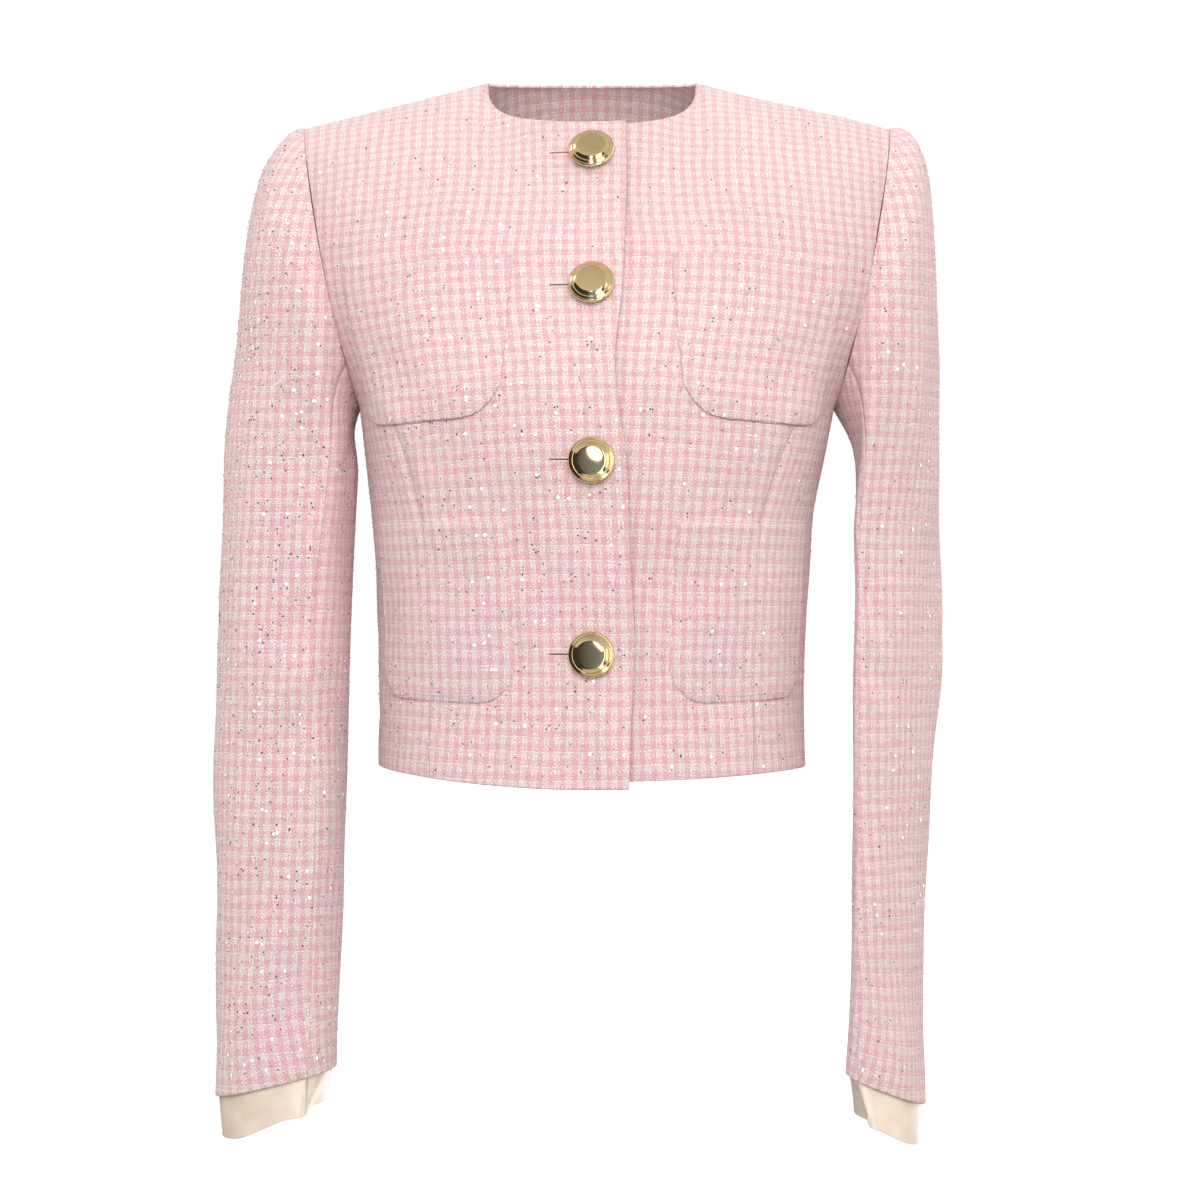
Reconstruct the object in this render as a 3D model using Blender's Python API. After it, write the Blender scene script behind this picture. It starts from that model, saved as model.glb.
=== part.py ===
"""A cropped, collarless tweed jacket in the form it has when worn.

Metres, +Z up, the front faces -Y and the wearer's left is at +X. The origin is on the
shoulder line, at the middle of the neck. Each cut piece is one closed wall of cloth, worked
out from the body sections, the armhole loop and the sleeve rings below.
"""

import math
from typing import NamedTuple

import bmesh
import bpy
import numpy as np

# Cloth and seams
TWEED_WALL = 0.0020
SATIN_WALL = 0.0012
SEAM_GAP = 0.0004
LAYER_GAP = 0.0004
POCKET_GAP = 0.0008
LAP_GAP = 0.0009
BUTTON_GAP = 0.0012

# Neck and shoulders
NECK_HALF_WIDTH = 0.067
NECK_POINT_DROP = 0.0014
NECK_DROP_FRONT = 0.0350
NECK_REACH_FRONT = 0.0700
NECK_RISE_BACK = 0.0050
NECK_REACH_BACK = 0.0520
NECK_SQUARENESS = 2.9
NECK_ROUNDNESS = 2.2
SHOULDER_HALF = 0.1865
SHOULDER_DROP = 0.0315
FRONT_ROUNDNESS = (1.0, 1.6, 1.85)
BACK_ROUNDNESS = (1.35, 1.6, 1.85)

# Armhole, a loop that runs from the shoulder tip by the front to the underarm
ARMHOLE_BOTTOM = 0.2130
ARMHOLE_DEPTH_FRONT = 0.056
ARMHOLE_DEPTH_BACK = 0.058
ARMHOLE_MID_X = 0.1720
ARMHOLE_LEAN_X = 0.0180
ARMHOLE_BOW_X = 0.0035

# Front closing
OVERLAP = 0.0225
OVERLAP_FADE = 0.060
PROUD_START = 0.012
UNDER_HEM_RISE = 0.005
BUTTON_DIAMETER = 0.0290
SHANK_DIAMETER = 0.0030
BUTTONHOLE_LENGTH = 0.0285
BUTTONHOLE_SLIT = 0.0014
BUTTONHOLE_EYE = 0.0040
BUTTONHOLE_REACH = 0.0060
BUTTONHOLE_SIDES = 8
BUTTON_HEIGHTS = (-0.0540, -0.1400, -0.2500, -0.3715)
BUTTON_SIDES = 20

# The button's outline from the crown to the back, as a share of the radius and a height
BUTTON_OUTLINE = (
    (0.00, 0.0068),
    (0.52, 0.0064),
    (0.66, 0.0054),
    (0.72, 0.0042),
    (0.86, 0.0036),
    (0.90, 0.0026),
    (1.00, 0.0020),
    (0.97, 0.0008),
    (0.80, 0.0004),
)

# Mesh steps
ARMHOLE_STEPS = 24
BODY_ROWS = 9
FRONT_COLUMNS = 12
BACK_COLUMNS = 22
CAP_ROWS = 7
RING_ROWS = 12
CUFF_ROWS = 3
CORNER_STEPS = 4
LEAST_COLUMN_STEP = 0.05
LEAST_ROW_STEP = 0.2
SHARP_ANGLE = 40.0
SECTION_SAMPLES = 240
LAP_COLUMNS = 2
MIRROR = np.array([-1.0, 1.0, 1.0])
ACROSS = np.array([1.0, 0.0, 0.0])

# Sleeve seams, as steps round the armhole from the shoulder tip by the front
FOREARM_STEP = 9
HINDARM_STEP = 16
TOP_SLEEVE_SHARE = 0.54

PINK = (0.86, 0.55, 0.57, 1.0)
CREAM = (0.87, 0.80, 0.72, 1.0)
GOLD = (0.80, 0.66, 0.42, 1.0)


class BodyStation(NamedTuple):
    """One level of a body panel, from the middle line to the side seam."""

    name: str
    middle_z: float
    middle_y: float
    side_x: float
    side_z: float
    squareness: float


FRONT_STATIONS = (
    BodyStation("hem", -0.4565, -0.1000, 0.1385, -0.4450, 2.20),
    BodyStation("waist", -0.4000, -0.0985, 0.1375, -0.3960, 2.20),
    BodyStation("midriff", -0.3330, -0.1015, 0.1400, -0.3320, 2.25),
    BodyStation("under_bust", -0.2800, -0.1090, 0.1430, -0.2800, 2.35),
    BodyStation("bust", -0.2330, -0.1150, 0.1475, -0.2360, 2.50),
    BodyStation("underarm", -0.2010, -0.1160, 0.1505, -0.2130, 2.55),
)
BACK_STATIONS = (
    BodyStation("hem", -0.4480, 0.0880, 0.1385, -0.4450, 2.20),
    BodyStation("waist", -0.3980, 0.0840, 0.1375, -0.3960, 2.20),
    BodyStation("midriff", -0.3330, 0.0860, 0.1400, -0.3320, 2.20),
    BodyStation("under_blade", -0.2800, 0.0910, 0.1430, -0.2800, 2.25),
    BodyStation("blade", -0.2330, 0.0970, 0.1475, -0.2360, 2.30),
    BodyStation("underarm", -0.2010, 0.1000, 0.1505, -0.2130, 2.35),
)
STATION_PLACES = (0.0, 1.0, 2.2, 3.2, 4.0, 4.6, 6.0)
CHEST_MIDDLE = (-0.1180, -0.1000, 2.45)
UPPER_BACK_MIDDLE = (-0.1120, 0.0990, 2.40)


class EdgeStation(NamedTuple):
    """How far the lapping front's free edge stands past the middle line, and how proud."""

    z: float
    reach: float
    proud: float


EDGE_STATIONS = (
    EdgeStation(-0.4600, 0.0228, 0.0040),
    EdgeStation(-0.4200, 0.0240, 0.0026),
    EdgeStation(-0.3700, 0.0262, 0.0010),
    EdgeStation(-0.3100, 0.0236, 0.0028),
    EdgeStation(-0.2500, 0.0214, 0.0008),
    EdgeStation(-0.1900, 0.0142, 0.0030),
    EdgeStation(-0.1400, 0.0190, 0.0008),
    EdgeStation(-0.0950, 0.0212, 0.0020),
    EdgeStation(-0.0300, 0.0212, 0.0008),
)


class SleeveRing(NamedTuple):
    """One ring of a sleeve, with its long axis turned from the front towards the body."""

    z: float
    out: float
    back: float
    half_deep: float
    half_wide: float
    turn: float
    slant: float


RIGHT_RINGS = (
    SleeveRing(-0.262, 0.1940, 0.004, 0.0550, 0.0430, 26.0, 0.00),
    SleeveRing(-0.320, 0.1978, 0.005, 0.0530, 0.0430, 19.0, 0.00),
    SleeveRing(-0.380, 0.1995, 0.003, 0.0510, 0.0435, 15.0, 0.00),
    SleeveRing(-0.450, 0.2003, -0.001, 0.0490, 0.0430, 12.0, -0.03),
    SleeveRing(-0.520, 0.2008, -0.007, 0.0460, 0.0418, 8.0, -0.08),
    SleeveRing(-0.585, 0.2012, -0.014, 0.0435, 0.0405, 4.0, -0.15),
    SleeveRing(-0.647, 0.2022, -0.021, 0.0415, 0.0400, 0.0, -0.24),
)
LEFT_RINGS = (
    SleeveRing(-0.262, 0.1950, 0.004, 0.0570, 0.0270, 22.0, 0.00),
    SleeveRing(-0.320, 0.1990, 0.005, 0.0580, 0.0200, 20.0, 0.00),
    SleeveRing(-0.380, 0.1985, 0.003, 0.0570, 0.0200, 19.0, 0.00),
    SleeveRing(-0.450, 0.1948, -0.001, 0.0550, 0.0195, 18.0, -0.05),
    SleeveRing(-0.520, 0.1922, -0.007, 0.0530, 0.0195, 16.0, -0.14),
    SleeveRing(-0.585, 0.1895, -0.014, 0.0510, 0.0200, 14.0, -0.28),
    SleeveRing(-0.652, 0.1882, -0.021, 0.0490, 0.0245, 14.0, -0.44),
)
FOLD_SQUARENESS = 1.80
RING_SQUARENESS = 2.10


class Sleeve(NamedTuple):
    """The cut of one sleeve: its rings, the fullness of its head and its satin cuff."""

    side: str
    rings: tuple
    head: float
    cuff_length: float
    cuff_inner_drop: float
    cuff_wave: float


SLEEVES = (
    Sleeve("right", RIGHT_RINGS, 0.70, 0.0255, -0.0015, 0.0010),
    Sleeve("left", LEFT_RINGS, 1.15, 0.0255, -0.0005, 0.0020),
)
CUFF_TUCK = 0.010
CUFF_FLARE = 0.0006
CUFF_WAVE_TURN = 0.6

# How the sleeve's cloth leaves the armhole: outwards at the tip and down at the underarm
CAP_SIDEWAYS = 0.35
CAP_FORWARD = 0.45
CAP_LIFT = 0.16
CAP_FALL = 0.45
CAP_PUSH = 0.024
CAP_PUSH_AT_TIP = 0.006
CAP_PUSH_BY_REACH = 0.05
CAP_ARRIVAL = 0.52
CAP_ROW_BIAS = 1.15


class Pocket(NamedTuple):
    """A patch pocket, measured along the cloth from the middle line."""

    name: str
    inner_top: float
    inner_bottom: float
    width: float
    top_z: float
    depth: float
    corner: float


POCKETS = (
    Pocket("breast", 0.0500, 0.0590, 0.1120, -0.1190, 0.1030, 0.026),
    Pocket("hip", 0.0535, 0.0480, 0.1100, -0.2890, 0.1080, 0.026),
)


def spline_columns(knots, values, at):
    """Reads smooth curves through rows of values; the knots rise."""
    knots = np.asarray(knots, float)
    values = np.asarray(values, float)
    slopes = np.gradient(values, knots, axis=0)
    place = np.clip(np.searchsorted(knots, at, side="right") - 1, 0, len(knots) - 2)
    span = (knots[place + 1] - knots[place])[:, None]
    f = (np.asarray(at)[:, None] - knots[place][:, None]) / span
    start, end = values[place], values[place + 1]
    rise_in, rise_out = slopes[place] * span, slopes[place + 1] * span
    return (
        (2 * f**3 - 3 * f**2 + 1) * start
        + (f**3 - 2 * f**2 + f) * rise_in
        + (3 * f**2 - 2 * f**3) * end
        + (f**3 - f**2) * rise_out
    )


def signed_power(value, power):
    """Raises the size of a number to a power and keeps its sign."""
    return np.sign(value) * np.abs(value) ** power


def spread(curve, count, trim_start=0.0, trim_end=0.0):
    """Places count + 1 points evenly along a curve, with its ends trimmed."""
    steps = np.linalg.norm(np.diff(curve, axis=0), axis=1)
    run = np.concatenate(([0.0], np.cumsum(steps)))
    at = np.linspace(trim_start, run[-1] - trim_end, count + 1)
    return np.stack([np.interp(at, run, curve[:, axis]) for axis in range(3)], axis=1)


def armhole_point(angle):
    """A point of the armhole; 0 is the shoulder tip, a quarter turn is the front."""
    middle = -(SHOULDER_DROP + ARMHOLE_BOTTOM) / 2
    half = (ARMHOLE_BOTTOM - SHOULDER_DROP) / 2
    lean = math.cos(angle)
    depth = ARMHOLE_DEPTH_FRONT if math.sin(angle) > 0 else ARMHOLE_DEPTH_BACK
    x = ARMHOLE_MID_X + ARMHOLE_LEAN_X * lean - ARMHOLE_BOW_X * lean**2
    return np.array([x, -depth * math.sin(angle), middle + half * lean])


def edge_values(heights):
    """The reach and the proud lift of the lapping edge at some heights."""
    knots = [station.z for station in EDGE_STATIONS]
    values = [[station.reach, station.proud] for station in EDGE_STATIONS]
    return spline_columns(knots, values, heights)


def body_section(middle, edge, squareness):
    """A level curve from the middle line to the panel's edge, as samples.

    The curve is part of a superellipse whose middle is at middle and that passes through edge.
    """
    middle_y, middle_z = middle
    edge_x, edge_y, edge_z = edge
    rise = edge_y / middle_y
    across = (1.0 - abs(rise) ** squareness) ** (1.0 / squareness)
    last = math.atan2(across ** (squareness / 2), signed_power(rise, squareness / 2))
    turn = np.linspace(0.0, last, SECTION_SAMPLES)
    x = edge_x / across * np.abs(np.sin(turn)) ** (2 / squareness)
    y = middle_y * signed_power(np.cos(turn), 2 / squareness)
    z = middle_z + (edge_z - middle_z) * (x / edge_x) ** 2
    return np.stack([x, y, z], axis=1)


def neck_curve(front):
    """The neckline from the middle line to the neck point, as samples."""
    drop = NECK_DROP_FRONT - NECK_POINT_DROP if front else -NECK_RISE_BACK
    depth = -NECK_REACH_FRONT if front else NECK_REACH_BACK
    power = 2 / (NECK_SQUARENESS if front else NECK_ROUNDNESS)
    turn = np.linspace(0.0, math.pi / 2, SECTION_SAMPLES)
    x = NECK_HALF_WIDTH * np.sin(turn) ** power
    z = -NECK_POINT_DROP - drop * np.abs(np.cos(turn)) ** power
    y = depth * np.abs(np.cos(turn)) ** (2 / NECK_ROUNDNESS)
    return np.stack([x, y, z], axis=1)


def top_row(front, columns, neck_columns):
    """The neckline and then the shoulder seam, one point a column."""
    neck = spread(neck_curve(front), neck_columns)
    share = np.linspace(0.0, 1.0, columns - neck_columns + 1)[1:, None]
    neck_point = np.array([NECK_HALF_WIDTH, 0.0, -NECK_POINT_DROP])
    seam = neck_point + (armhole_point(0.0) - neck_point) * share
    row = np.vstack([neck, seam])
    row[neck_columns:, 1] += (-0.5 if front else 0.5) * SEAM_GAP
    return row


def rows_to_chest(front, columns, hem_rise):
    """The rows of a half panel from the hem up to the middle of the armhole."""
    stations = FRONT_STATIONS if front else BACK_STATIONS
    chest = CHEST_MIDDLE if front else UPPER_BACK_MIDDLE
    turn = 1.0 if front else -1.0
    quarter = ARMHOLE_STEPS // 4
    table = [[s.middle_z, s.middle_y, s.side_x, s.side_z, s.squareness] for s in stations]
    table[0][0] += hem_rise
    mid_edge = armhole_point(turn * math.pi / 2)
    table.append([chest[0], chest[1], mid_edge[0], mid_edge[2], chest[2]])
    below = np.linspace(STATION_PLACES[0], STATION_PLACES[-2], BODY_ROWS + 1)
    beside = np.linspace(STATION_PLACES[-2], STATION_PLACES[-1], quarter + 1)[1:]
    levels = spline_columns(STATION_PLACES, table, np.concatenate([below, beside]))
    rows = []
    for index, (middle_z, middle_y, side_x, side_z, squareness) in enumerate(levels):
        step = max(index - BODY_ROWS, 0)
        edge = np.array([side_x, 0.0, side_z])
        if step:
            edge = armhole_point(turn * (math.pi - step * math.pi / (2 * quarter)))
        section = body_section((middle_y, middle_z), edge, squareness)
        rows.append(spread(section, columns, 0.0, SEAM_GAP / 2))
    return np.array(rows)


def half_panel(front, columns, neck_columns, hem_rise=0.0):
    """The outer skin from the middle line to the +X side, rows from hem to shoulder."""
    lower = rows_to_chest(front, columns, hem_rise)
    quarter = ARMHOLE_STEPS // 4
    chest = lower[-1]
    top = top_row(front, columns, neck_columns)
    places = [OVERLAP, chest[neck_columns, 0], chest[columns, 0]]
    roundness = np.interp(chest[:, 0], places, FRONT_ROUNDNESS if front else BACK_ROUNDNESS)
    rows = []
    for step in range(1, quarter + 1):
        angle = step / quarter * math.pi / 2
        rise = np.sin(angle) ** (2 / roundness)
        keep = max(math.cos(angle), 0.0) ** (2 / roundness)
        row = np.empty_like(chest)
        row[:, 0] = chest[:, 0] + (top[:, 0] - chest[:, 0]) * (0.5 * rise + 0.5 * (1 - keep))
        row[:, 1] = top[:, 1] + (chest[:, 1] - top[:, 1]) * keep
        row[:, 2] = chest[:, 2] + (top[:, 2] - chest[:, 2]) * rise
        edge = armhole_point((1.0 if front else -1.0) * (math.pi / 2 - angle))
        inwards = row[-2] - edge
        row[-1] = edge + inwards * SEAM_GAP / 2 / np.linalg.norm(inwards)
        if step == quarter:
            row[-1, 1] = top[-1, 1]
        rows.append(row)
    return np.vstack([lower, np.array(rows)])


def row_lengths(row):
    """The run along one row of a skin at each column, from the middle line."""
    steps = np.linalg.norm(np.diff(row, axis=0), axis=1)
    lengths = np.concatenate(([0.0], np.cumsum(steps)))
    return lengths - np.interp(0.0, row[:, 0], lengths)


def with_lap(skin, reach):
    """Runs each row on past the middle line, as a mirror image of the skin beside it."""
    rows = []
    for row, run in zip(skin, reach):
        lengths = row_lengths(row)
        shares = np.linspace(1.0, 0.0, LAP_COLUMNS + 1)[:-1]
        lap = [[np.interp(run * share, lengths, row[:, axis]) for axis in range(3)] for share in shares]
        rows.append(np.vstack([np.array(lap) * MIRROR, row]))
    return np.array(rows)


def front_skin(lapping):
    """The outer skin of one front on the +X side, and its normals; the lapping one stands proud."""
    neck_columns = FRONT_COLUMNS // 2
    skin = half_panel(True, FRONT_COLUMNS, neck_columns, 0.0 if lapping else UNDER_HEM_RISE)
    reach, proud = edge_values(skin[:, 0, 2]).T if lapping else (np.full(len(skin), OVERLAP), 0.0)
    skin = with_lap(skin, reach)
    normals = body_normals(skin, neck_columns + LAP_COLUMNS)
    if lapping:
        x = skin[:, :, 0]
        layer = (TWEED_WALL + LAP_GAP) * ease((OVERLAP_FADE - x) / (OVERLAP_FADE - OVERLAP))
        lift = layer + proud[:, None] * ease((PROUD_START - x) / (PROUD_START + OVERLAP))
        skin = skin + normals * lift[:, :, None]
        normals = body_normals(skin, neck_columns + LAP_COLUMNS)
    return skin, normals


def ease(share):
    """0 to 1, with level ends."""
    share = np.clip(share, 0.0, 1.0)
    return share * share * (3 - 2 * share)


def body_normals(skin, neck_column):
    """Outward normals of a half panel, with those of its neck and shoulder edges settled."""
    normals = outward(skin, False)
    normals[-1, :neck_column] = normals[-2, :neck_column]
    across = SHOULDER_HALF - NECK_HALF_WIDTH
    facing = 1.0 if normals[0, 0, 1] < 0 else -1.0
    down = SHOULDER_DROP - NECK_POINT_DROP
    normals[-1, neck_column:] = facing * np.array([down, 0.0, across]) / math.hypot(across, down)
    return normals


def back_skin():
    """The outer skin of the whole back from the -X side seam to the +X one, and its normals."""
    half = BACK_COLUMNS // 2
    right = half_panel(False, half, half // 2)
    normals = -body_normals(right, half // 2)
    normals[:, 0, 0] = 0.0
    skin = np.concatenate([right[:, :0:-1] * MIRROR, right], axis=1)
    return skin, np.concatenate([normals[:, :0:-1] * MIRROR, normals], axis=1)


def outward(skin, closed):
    """Unit normals that point out of the garment, by smooth differences on the grid."""
    down = -np.gradient(skin, axis=0, edge_order=2)
    if closed:
        around = (np.roll(skin, -1, axis=1) - np.roll(skin, 1, axis=1)) / 2
    else:
        around = np.gradient(skin, axis=1, edge_order=2)
    normal = np.cross(down, around)
    normal /= np.linalg.norm(normal, axis=2, keepdims=True)
    return normal


def add_wall(name, outer, normals, thickness, material, closed=False):
    """Makes one closed wall from the grid of its outer skin, thickened inwards."""
    rows, columns = outer.shape[:2]
    inner = outer - normals * thickness
    mesh = bmesh.new()
    outside = [[mesh.verts.new(point) for point in row] for row in outer]
    inside = [[mesh.verts.new(point) for point in row] for row in inner]
    last = columns if closed else columns - 1
    for r in range(rows - 1):
        for c in range(last):
            d = (c + 1) % columns
            mesh.faces.new((outside[r][c], outside[r][d], outside[r + 1][d], outside[r + 1][c]))
            mesh.faces.new((inside[r][c], inside[r + 1][c], inside[r + 1][d], inside[r][d]))
    for c in range(last):
        d = (c + 1) % columns
        mesh.faces.new((outside[0][c], inside[0][c], inside[0][d], outside[0][d]))
        mesh.faces.new((outside[-1][c], outside[-1][d], inside[-1][d], inside[-1][c]))
    if not closed:
        for r in range(rows - 1):
            mesh.faces.new((outside[r][0], outside[r + 1][0], inside[r + 1][0], inside[r][0]))
            mesh.faces.new((outside[r][-1], inside[r][-1], inside[r + 1][-1], outside[r + 1][-1]))
    bmesh.ops.recalc_face_normals(mesh, faces=mesh.faces)
    return add_object(name, mesh, material)


def add_object(name, mesh, material):
    """Turns a bmesh into a named object with its material."""
    data = bpy.data.meshes.new(name)
    mesh.to_mesh(data)
    mesh.free()
    data.materials.append(material)
    data.shade_smooth()
    data.set_sharp_from_angle(angle=math.radians(SHARP_ANGLE))
    item = bpy.data.objects.new(name, data)
    bpy.context.scene.collection.objects.link(item)
    return item


def add_material(name, colour, roughness, metallic=0.0):
    """A Principled material with its main values."""
    material = bpy.data.materials.new(name)
    material.use_nodes = True
    shader = material.node_tree.nodes["Principled BSDF"]
    shader.inputs["Base Color"].default_value = colour
    shader.inputs["Roughness"].default_value = roughness
    shader.inputs["Metallic"].default_value = metallic
    return material


def mirrored(grid):
    """The grid on the other side of the body, with its columns in the same turning sense."""
    return grid[:, ::-1] * MIRROR


def ring_points(ring, count):
    """The points of one sleeve ring on the +X side, in the order of the armhole's steps."""
    turn = math.radians(ring.turn)
    fold = np.array([-math.sin(turn), -math.cos(turn)])
    out = np.array([math.cos(turn), -math.sin(turn)])
    points = []
    for step in range(count):
        angle = ring_angle(step, count)
        squareness = FOLD_SQUARENESS if math.cos(angle) > 0 else RING_SQUARENESS
        along = signed_power(math.cos(angle), 2 / squareness)
        across = signed_power(math.sin(angle), 2 / RING_SQUARENESS)
        x, y = ring.half_deep * along * fold + ring.half_wide * across * out
        points.append((ring.out + x, ring.back + y, ring.z + ring.slant * x))
    return np.array(points)


def ring_angle(step, count):
    """The angle round a sleeve ring, 0 at the front fold and a quarter turn outside."""
    top_steps = FOREARM_STEP + count - HINDARM_STEP
    if FOREARM_STEP < step < HINDARM_STEP:
        share = (step - FOREARM_STEP) / (HINDARM_STEP - FOREARM_STEP)
        return -2 * math.pi * (1 - TOP_SLEEVE_SHARE) * share
    from_seam = FOREARM_STEP - step if step <= FOREARM_STEP else FOREARM_STEP + count - step
    return 2 * math.pi * TOP_SLEEVE_SHARE * from_seam / top_steps


def sleeve_skin(sleeve):
    """The outer skin of one sleeve on the +X side, armhole to hem, as a closed grid."""
    knots = [-ring.z for ring in sleeve.rings]
    values = [list(ring) for ring in sleeve.rings]
    levels = spline_columns(knots, values, np.linspace(knots[0], knots[-1], RING_ROWS + 1))
    tube = np.array([ring_points(SleeveRing(*level), ARMHOLE_STEPS) for level in levels])
    turns = 2 * np.pi * np.arange(ARMHOLE_STEPS) / ARMHOLE_STEPS
    start = np.array([armhole_point(turn) for turn in turns])
    start[:, 0] += SEAM_GAP
    lean = np.cos(turns)[:, None]
    sideways = CAP_SIDEWAYS + (1 - CAP_SIDEWAYS) * np.clip(lean + CAP_SIDEWAYS, 0.0, 1.0)
    forward = -CAP_FORWARD * np.sin(turns)[:, None]
    upward = CAP_LIFT * sleeve.head - CAP_FALL * (1 - lean)
    leave_way = np.hstack([sideways, forward, upward])
    leave_way /= np.linalg.norm(leave_way, axis=1, keepdims=True)
    reach = np.linalg.norm(tube[0] - start, axis=1, keepdims=True)
    push = CAP_PUSH + CAP_PUSH_AT_TIP * lean + CAP_PUSH_BY_REACH * reach
    push *= 1 + (sleeve.head - 1) * np.clip(lean, 0.0, 1.0)
    rise = tube[0] - tube[1]
    rise /= np.linalg.norm(rise, axis=1, keepdims=True)
    leave = start + leave_way * push
    arrive = tube[0] + rise * reach * CAP_ARRIVAL
    cap = []
    for share in np.linspace(0.0, 1.0, CAP_ROWS + 1)[:-1] ** CAP_ROW_BIAS:
        rest = 1 - share
        near = rest**3 * start + 3 * rest**2 * share * leave
        cap.append(near + 3 * rest * share**2 * arrive + share**3 * tube[0])
    return np.vstack([np.array(cap), tube])


def tube_part(skin, normals, first, last, trim):
    """A run of a closed grid's columns with its two seam edges pulled in by the trim."""
    count = skin.shape[1]
    columns = [step % count for step in range(first, last + 1)]
    part = skin[:, columns].copy()
    normal = normals[:, columns].copy()
    for edge, inner in ((0, 1), (-1, -2)):
        run = part[:, inner] - part[:, edge]
        part[:, edge] += run / np.linalg.norm(run, axis=1, keepdims=True) * trim
    return part, normal


def cuff_skin(sleeve, skin, normals):
    """The outer skin of the satin cuff, which starts inside the sleeve's hem."""
    inset = skin[-1] - normals[-1] * (TWEED_WALL + LAYER_GAP)
    fall = skin[-1] - skin[-2]
    fall /= np.linalg.norm(fall, axis=1, keepdims=True)
    turns = 2 * np.pi * np.arange(ARMHOLE_STEPS) / ARMHOLE_STEPS
    length = sleeve.cuff_length + sleeve.cuff_inner_drop * (1 - np.cos(turns)) / 2
    length += sleeve.cuff_wave * (np.sin(2 * turns + CUFF_WAVE_TURN) + np.sin(3 * turns) / 2)
    rows = [inset - fall * CUFF_TUCK]
    for share in np.linspace(0.0, 1.0, CUFF_ROWS):
        run = (length * share)[:, None]
        rows.append(inset + fall * run + normals[-1] * CUFF_FLARE * share)
    return np.array(rows)


def add_sleeve(sleeve, tweed, satin):
    """Makes the top sleeve, the under sleeve and the satin cuff of one side."""
    skin = sleeve_skin(sleeve)
    normals = outward(skin, True)
    top = tube_part(skin, normals, HINDARM_STEP, FOREARM_STEP + ARMHOLE_STEPS, SEAM_GAP / 2)
    under = tube_part(skin, normals, FOREARM_STEP, HINDARM_STEP, SEAM_GAP / 2)
    flip = MIRROR if sleeve.side == "right" else np.ones(3)
    for name, (grid, lean) in (("sleeve_top", top), ("sleeve_under", under)):
        add_wall(f"{name}_{sleeve.side}", grid * flip, lean * flip, TWEED_WALL, tweed)
    cuff = cuff_skin(sleeve, skin, normals)
    add_wall(f"cuff_{sleeve.side}", cuff * flip, outward(cuff, True) * flip, SATIN_WALL, satin, True)


def middle_line(skin):
    """The places where each row of a front's skin crosses the middle line, hem to neck."""
    return np.array([[np.interp(0.0, row[:, 0], row[:, axis]) for axis in range(3)] for row in skin])


def blend(grid, row, column):
    """A point between the points of a grid, at a part row and a part column."""
    r, c = min(int(row), grid.shape[0] - 2), min(int(column), grid.shape[1] - 2)
    down, across = row - r, column - c
    lower = grid[r, c] * (1 - across) + grid[r, c + 1] * across
    upper = grid[r + 1, c] * (1 - across) + grid[r + 1, c + 1] * across
    return lower * (1 - down) + upper * down


def pocket_outline(pocket, share):
    """The runs of a pocket's two sides at a share of its depth, corners rounded."""
    inner = pocket.inner_top + (pocket.inner_bottom - pocket.inner_top) * share
    into_corner = max(pocket.depth * share - (pocket.depth - pocket.corner), 0.0)
    pull = pocket.corner - math.sqrt(max(pocket.corner**2 - into_corner**2, 0.0))
    return inner + pull, inner + pocket.width - pull


def pocket_shares(pocket, top_row_at, low_row_at):
    """The shares of a pocket's depth that get a row: the panel's own rows and the corners."""
    straight = 1 - pocket.corner / pocket.depth
    shares = {0.0, straight}
    for step in range(1, CORNER_STEPS + 1):
        shares.add(straight + (1 - straight) * math.sin(math.pi / 2 * step / CORNER_STEPS))
    first = math.ceil(low_row_at + LEAST_ROW_STEP)
    last = math.floor(top_row_at - LEAST_ROW_STEP)
    for row in range(first, last + 1):
        shares.add((top_row_at - row) / (top_row_at - low_row_at))
    return sorted(shares, reverse=True)


def pocket_wall(skin, normals, pocket):
    """The outer grid and normals of a patch pocket, made from the front's own points."""
    heights = middle_line(skin)[:, 2]
    row_numbers = range(len(skin))
    top_row_at = float(np.interp(pocket.top_z, heights, row_numbers))
    low_row_at = float(np.interp(pocket.top_z - pocket.depth, heights, row_numbers))
    rows = []
    for share in pocket_shares(pocket, top_row_at, low_row_at):
        at_row = top_row_at + (low_row_at - top_row_at) * share
        lower = min(int(at_row), len(skin) - 2)
        line = skin[lower] + (skin[lower + 1] - skin[lower]) * (at_row - lower)
        ends = np.interp(pocket_outline(pocket, share), row_lengths(line), range(len(line)))
        rows.append((at_row, *ends))
    first_column = math.floor(min(start for _, start, _ in rows)) + 1
    last_column = math.ceil(max(end for _, _, end in rows)) - 1
    inside = np.arange(first_column, last_column + 1)
    rank = np.arange(1, len(inside) + 1) * LEAST_COLUMN_STEP
    grid, lean = [], []
    for at_row, start, end in rows:
        columns = np.minimum(np.maximum(inside, start + rank), end - rank[::-1])
        columns = np.concatenate(([start], columns, [end]))
        grid.append([blend(skin, at_row, column) for column in columns])
        lean.append([blend(normals, at_row, column) for column in columns])
    lean = np.array(lean)
    lean /= np.linalg.norm(lean, axis=2, keepdims=True)
    return np.array(grid) + lean * (TWEED_WALL + POCKET_GAP), lean


def frame_at(skin, height):
    """A point of a skin on the middle line and its outward direction."""
    line = middle_line(skin)
    reach = BUTTON_DIAMETER / 4
    levels = [height - reach, height, height + reach]
    below, point, above = [
        np.array([0.0, np.interp(level, line[:, 2], line[:, 1]), level]) for level in levels
    ]
    out = np.cross(ACROSS, above - below)
    return point, out / np.linalg.norm(out)


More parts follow.
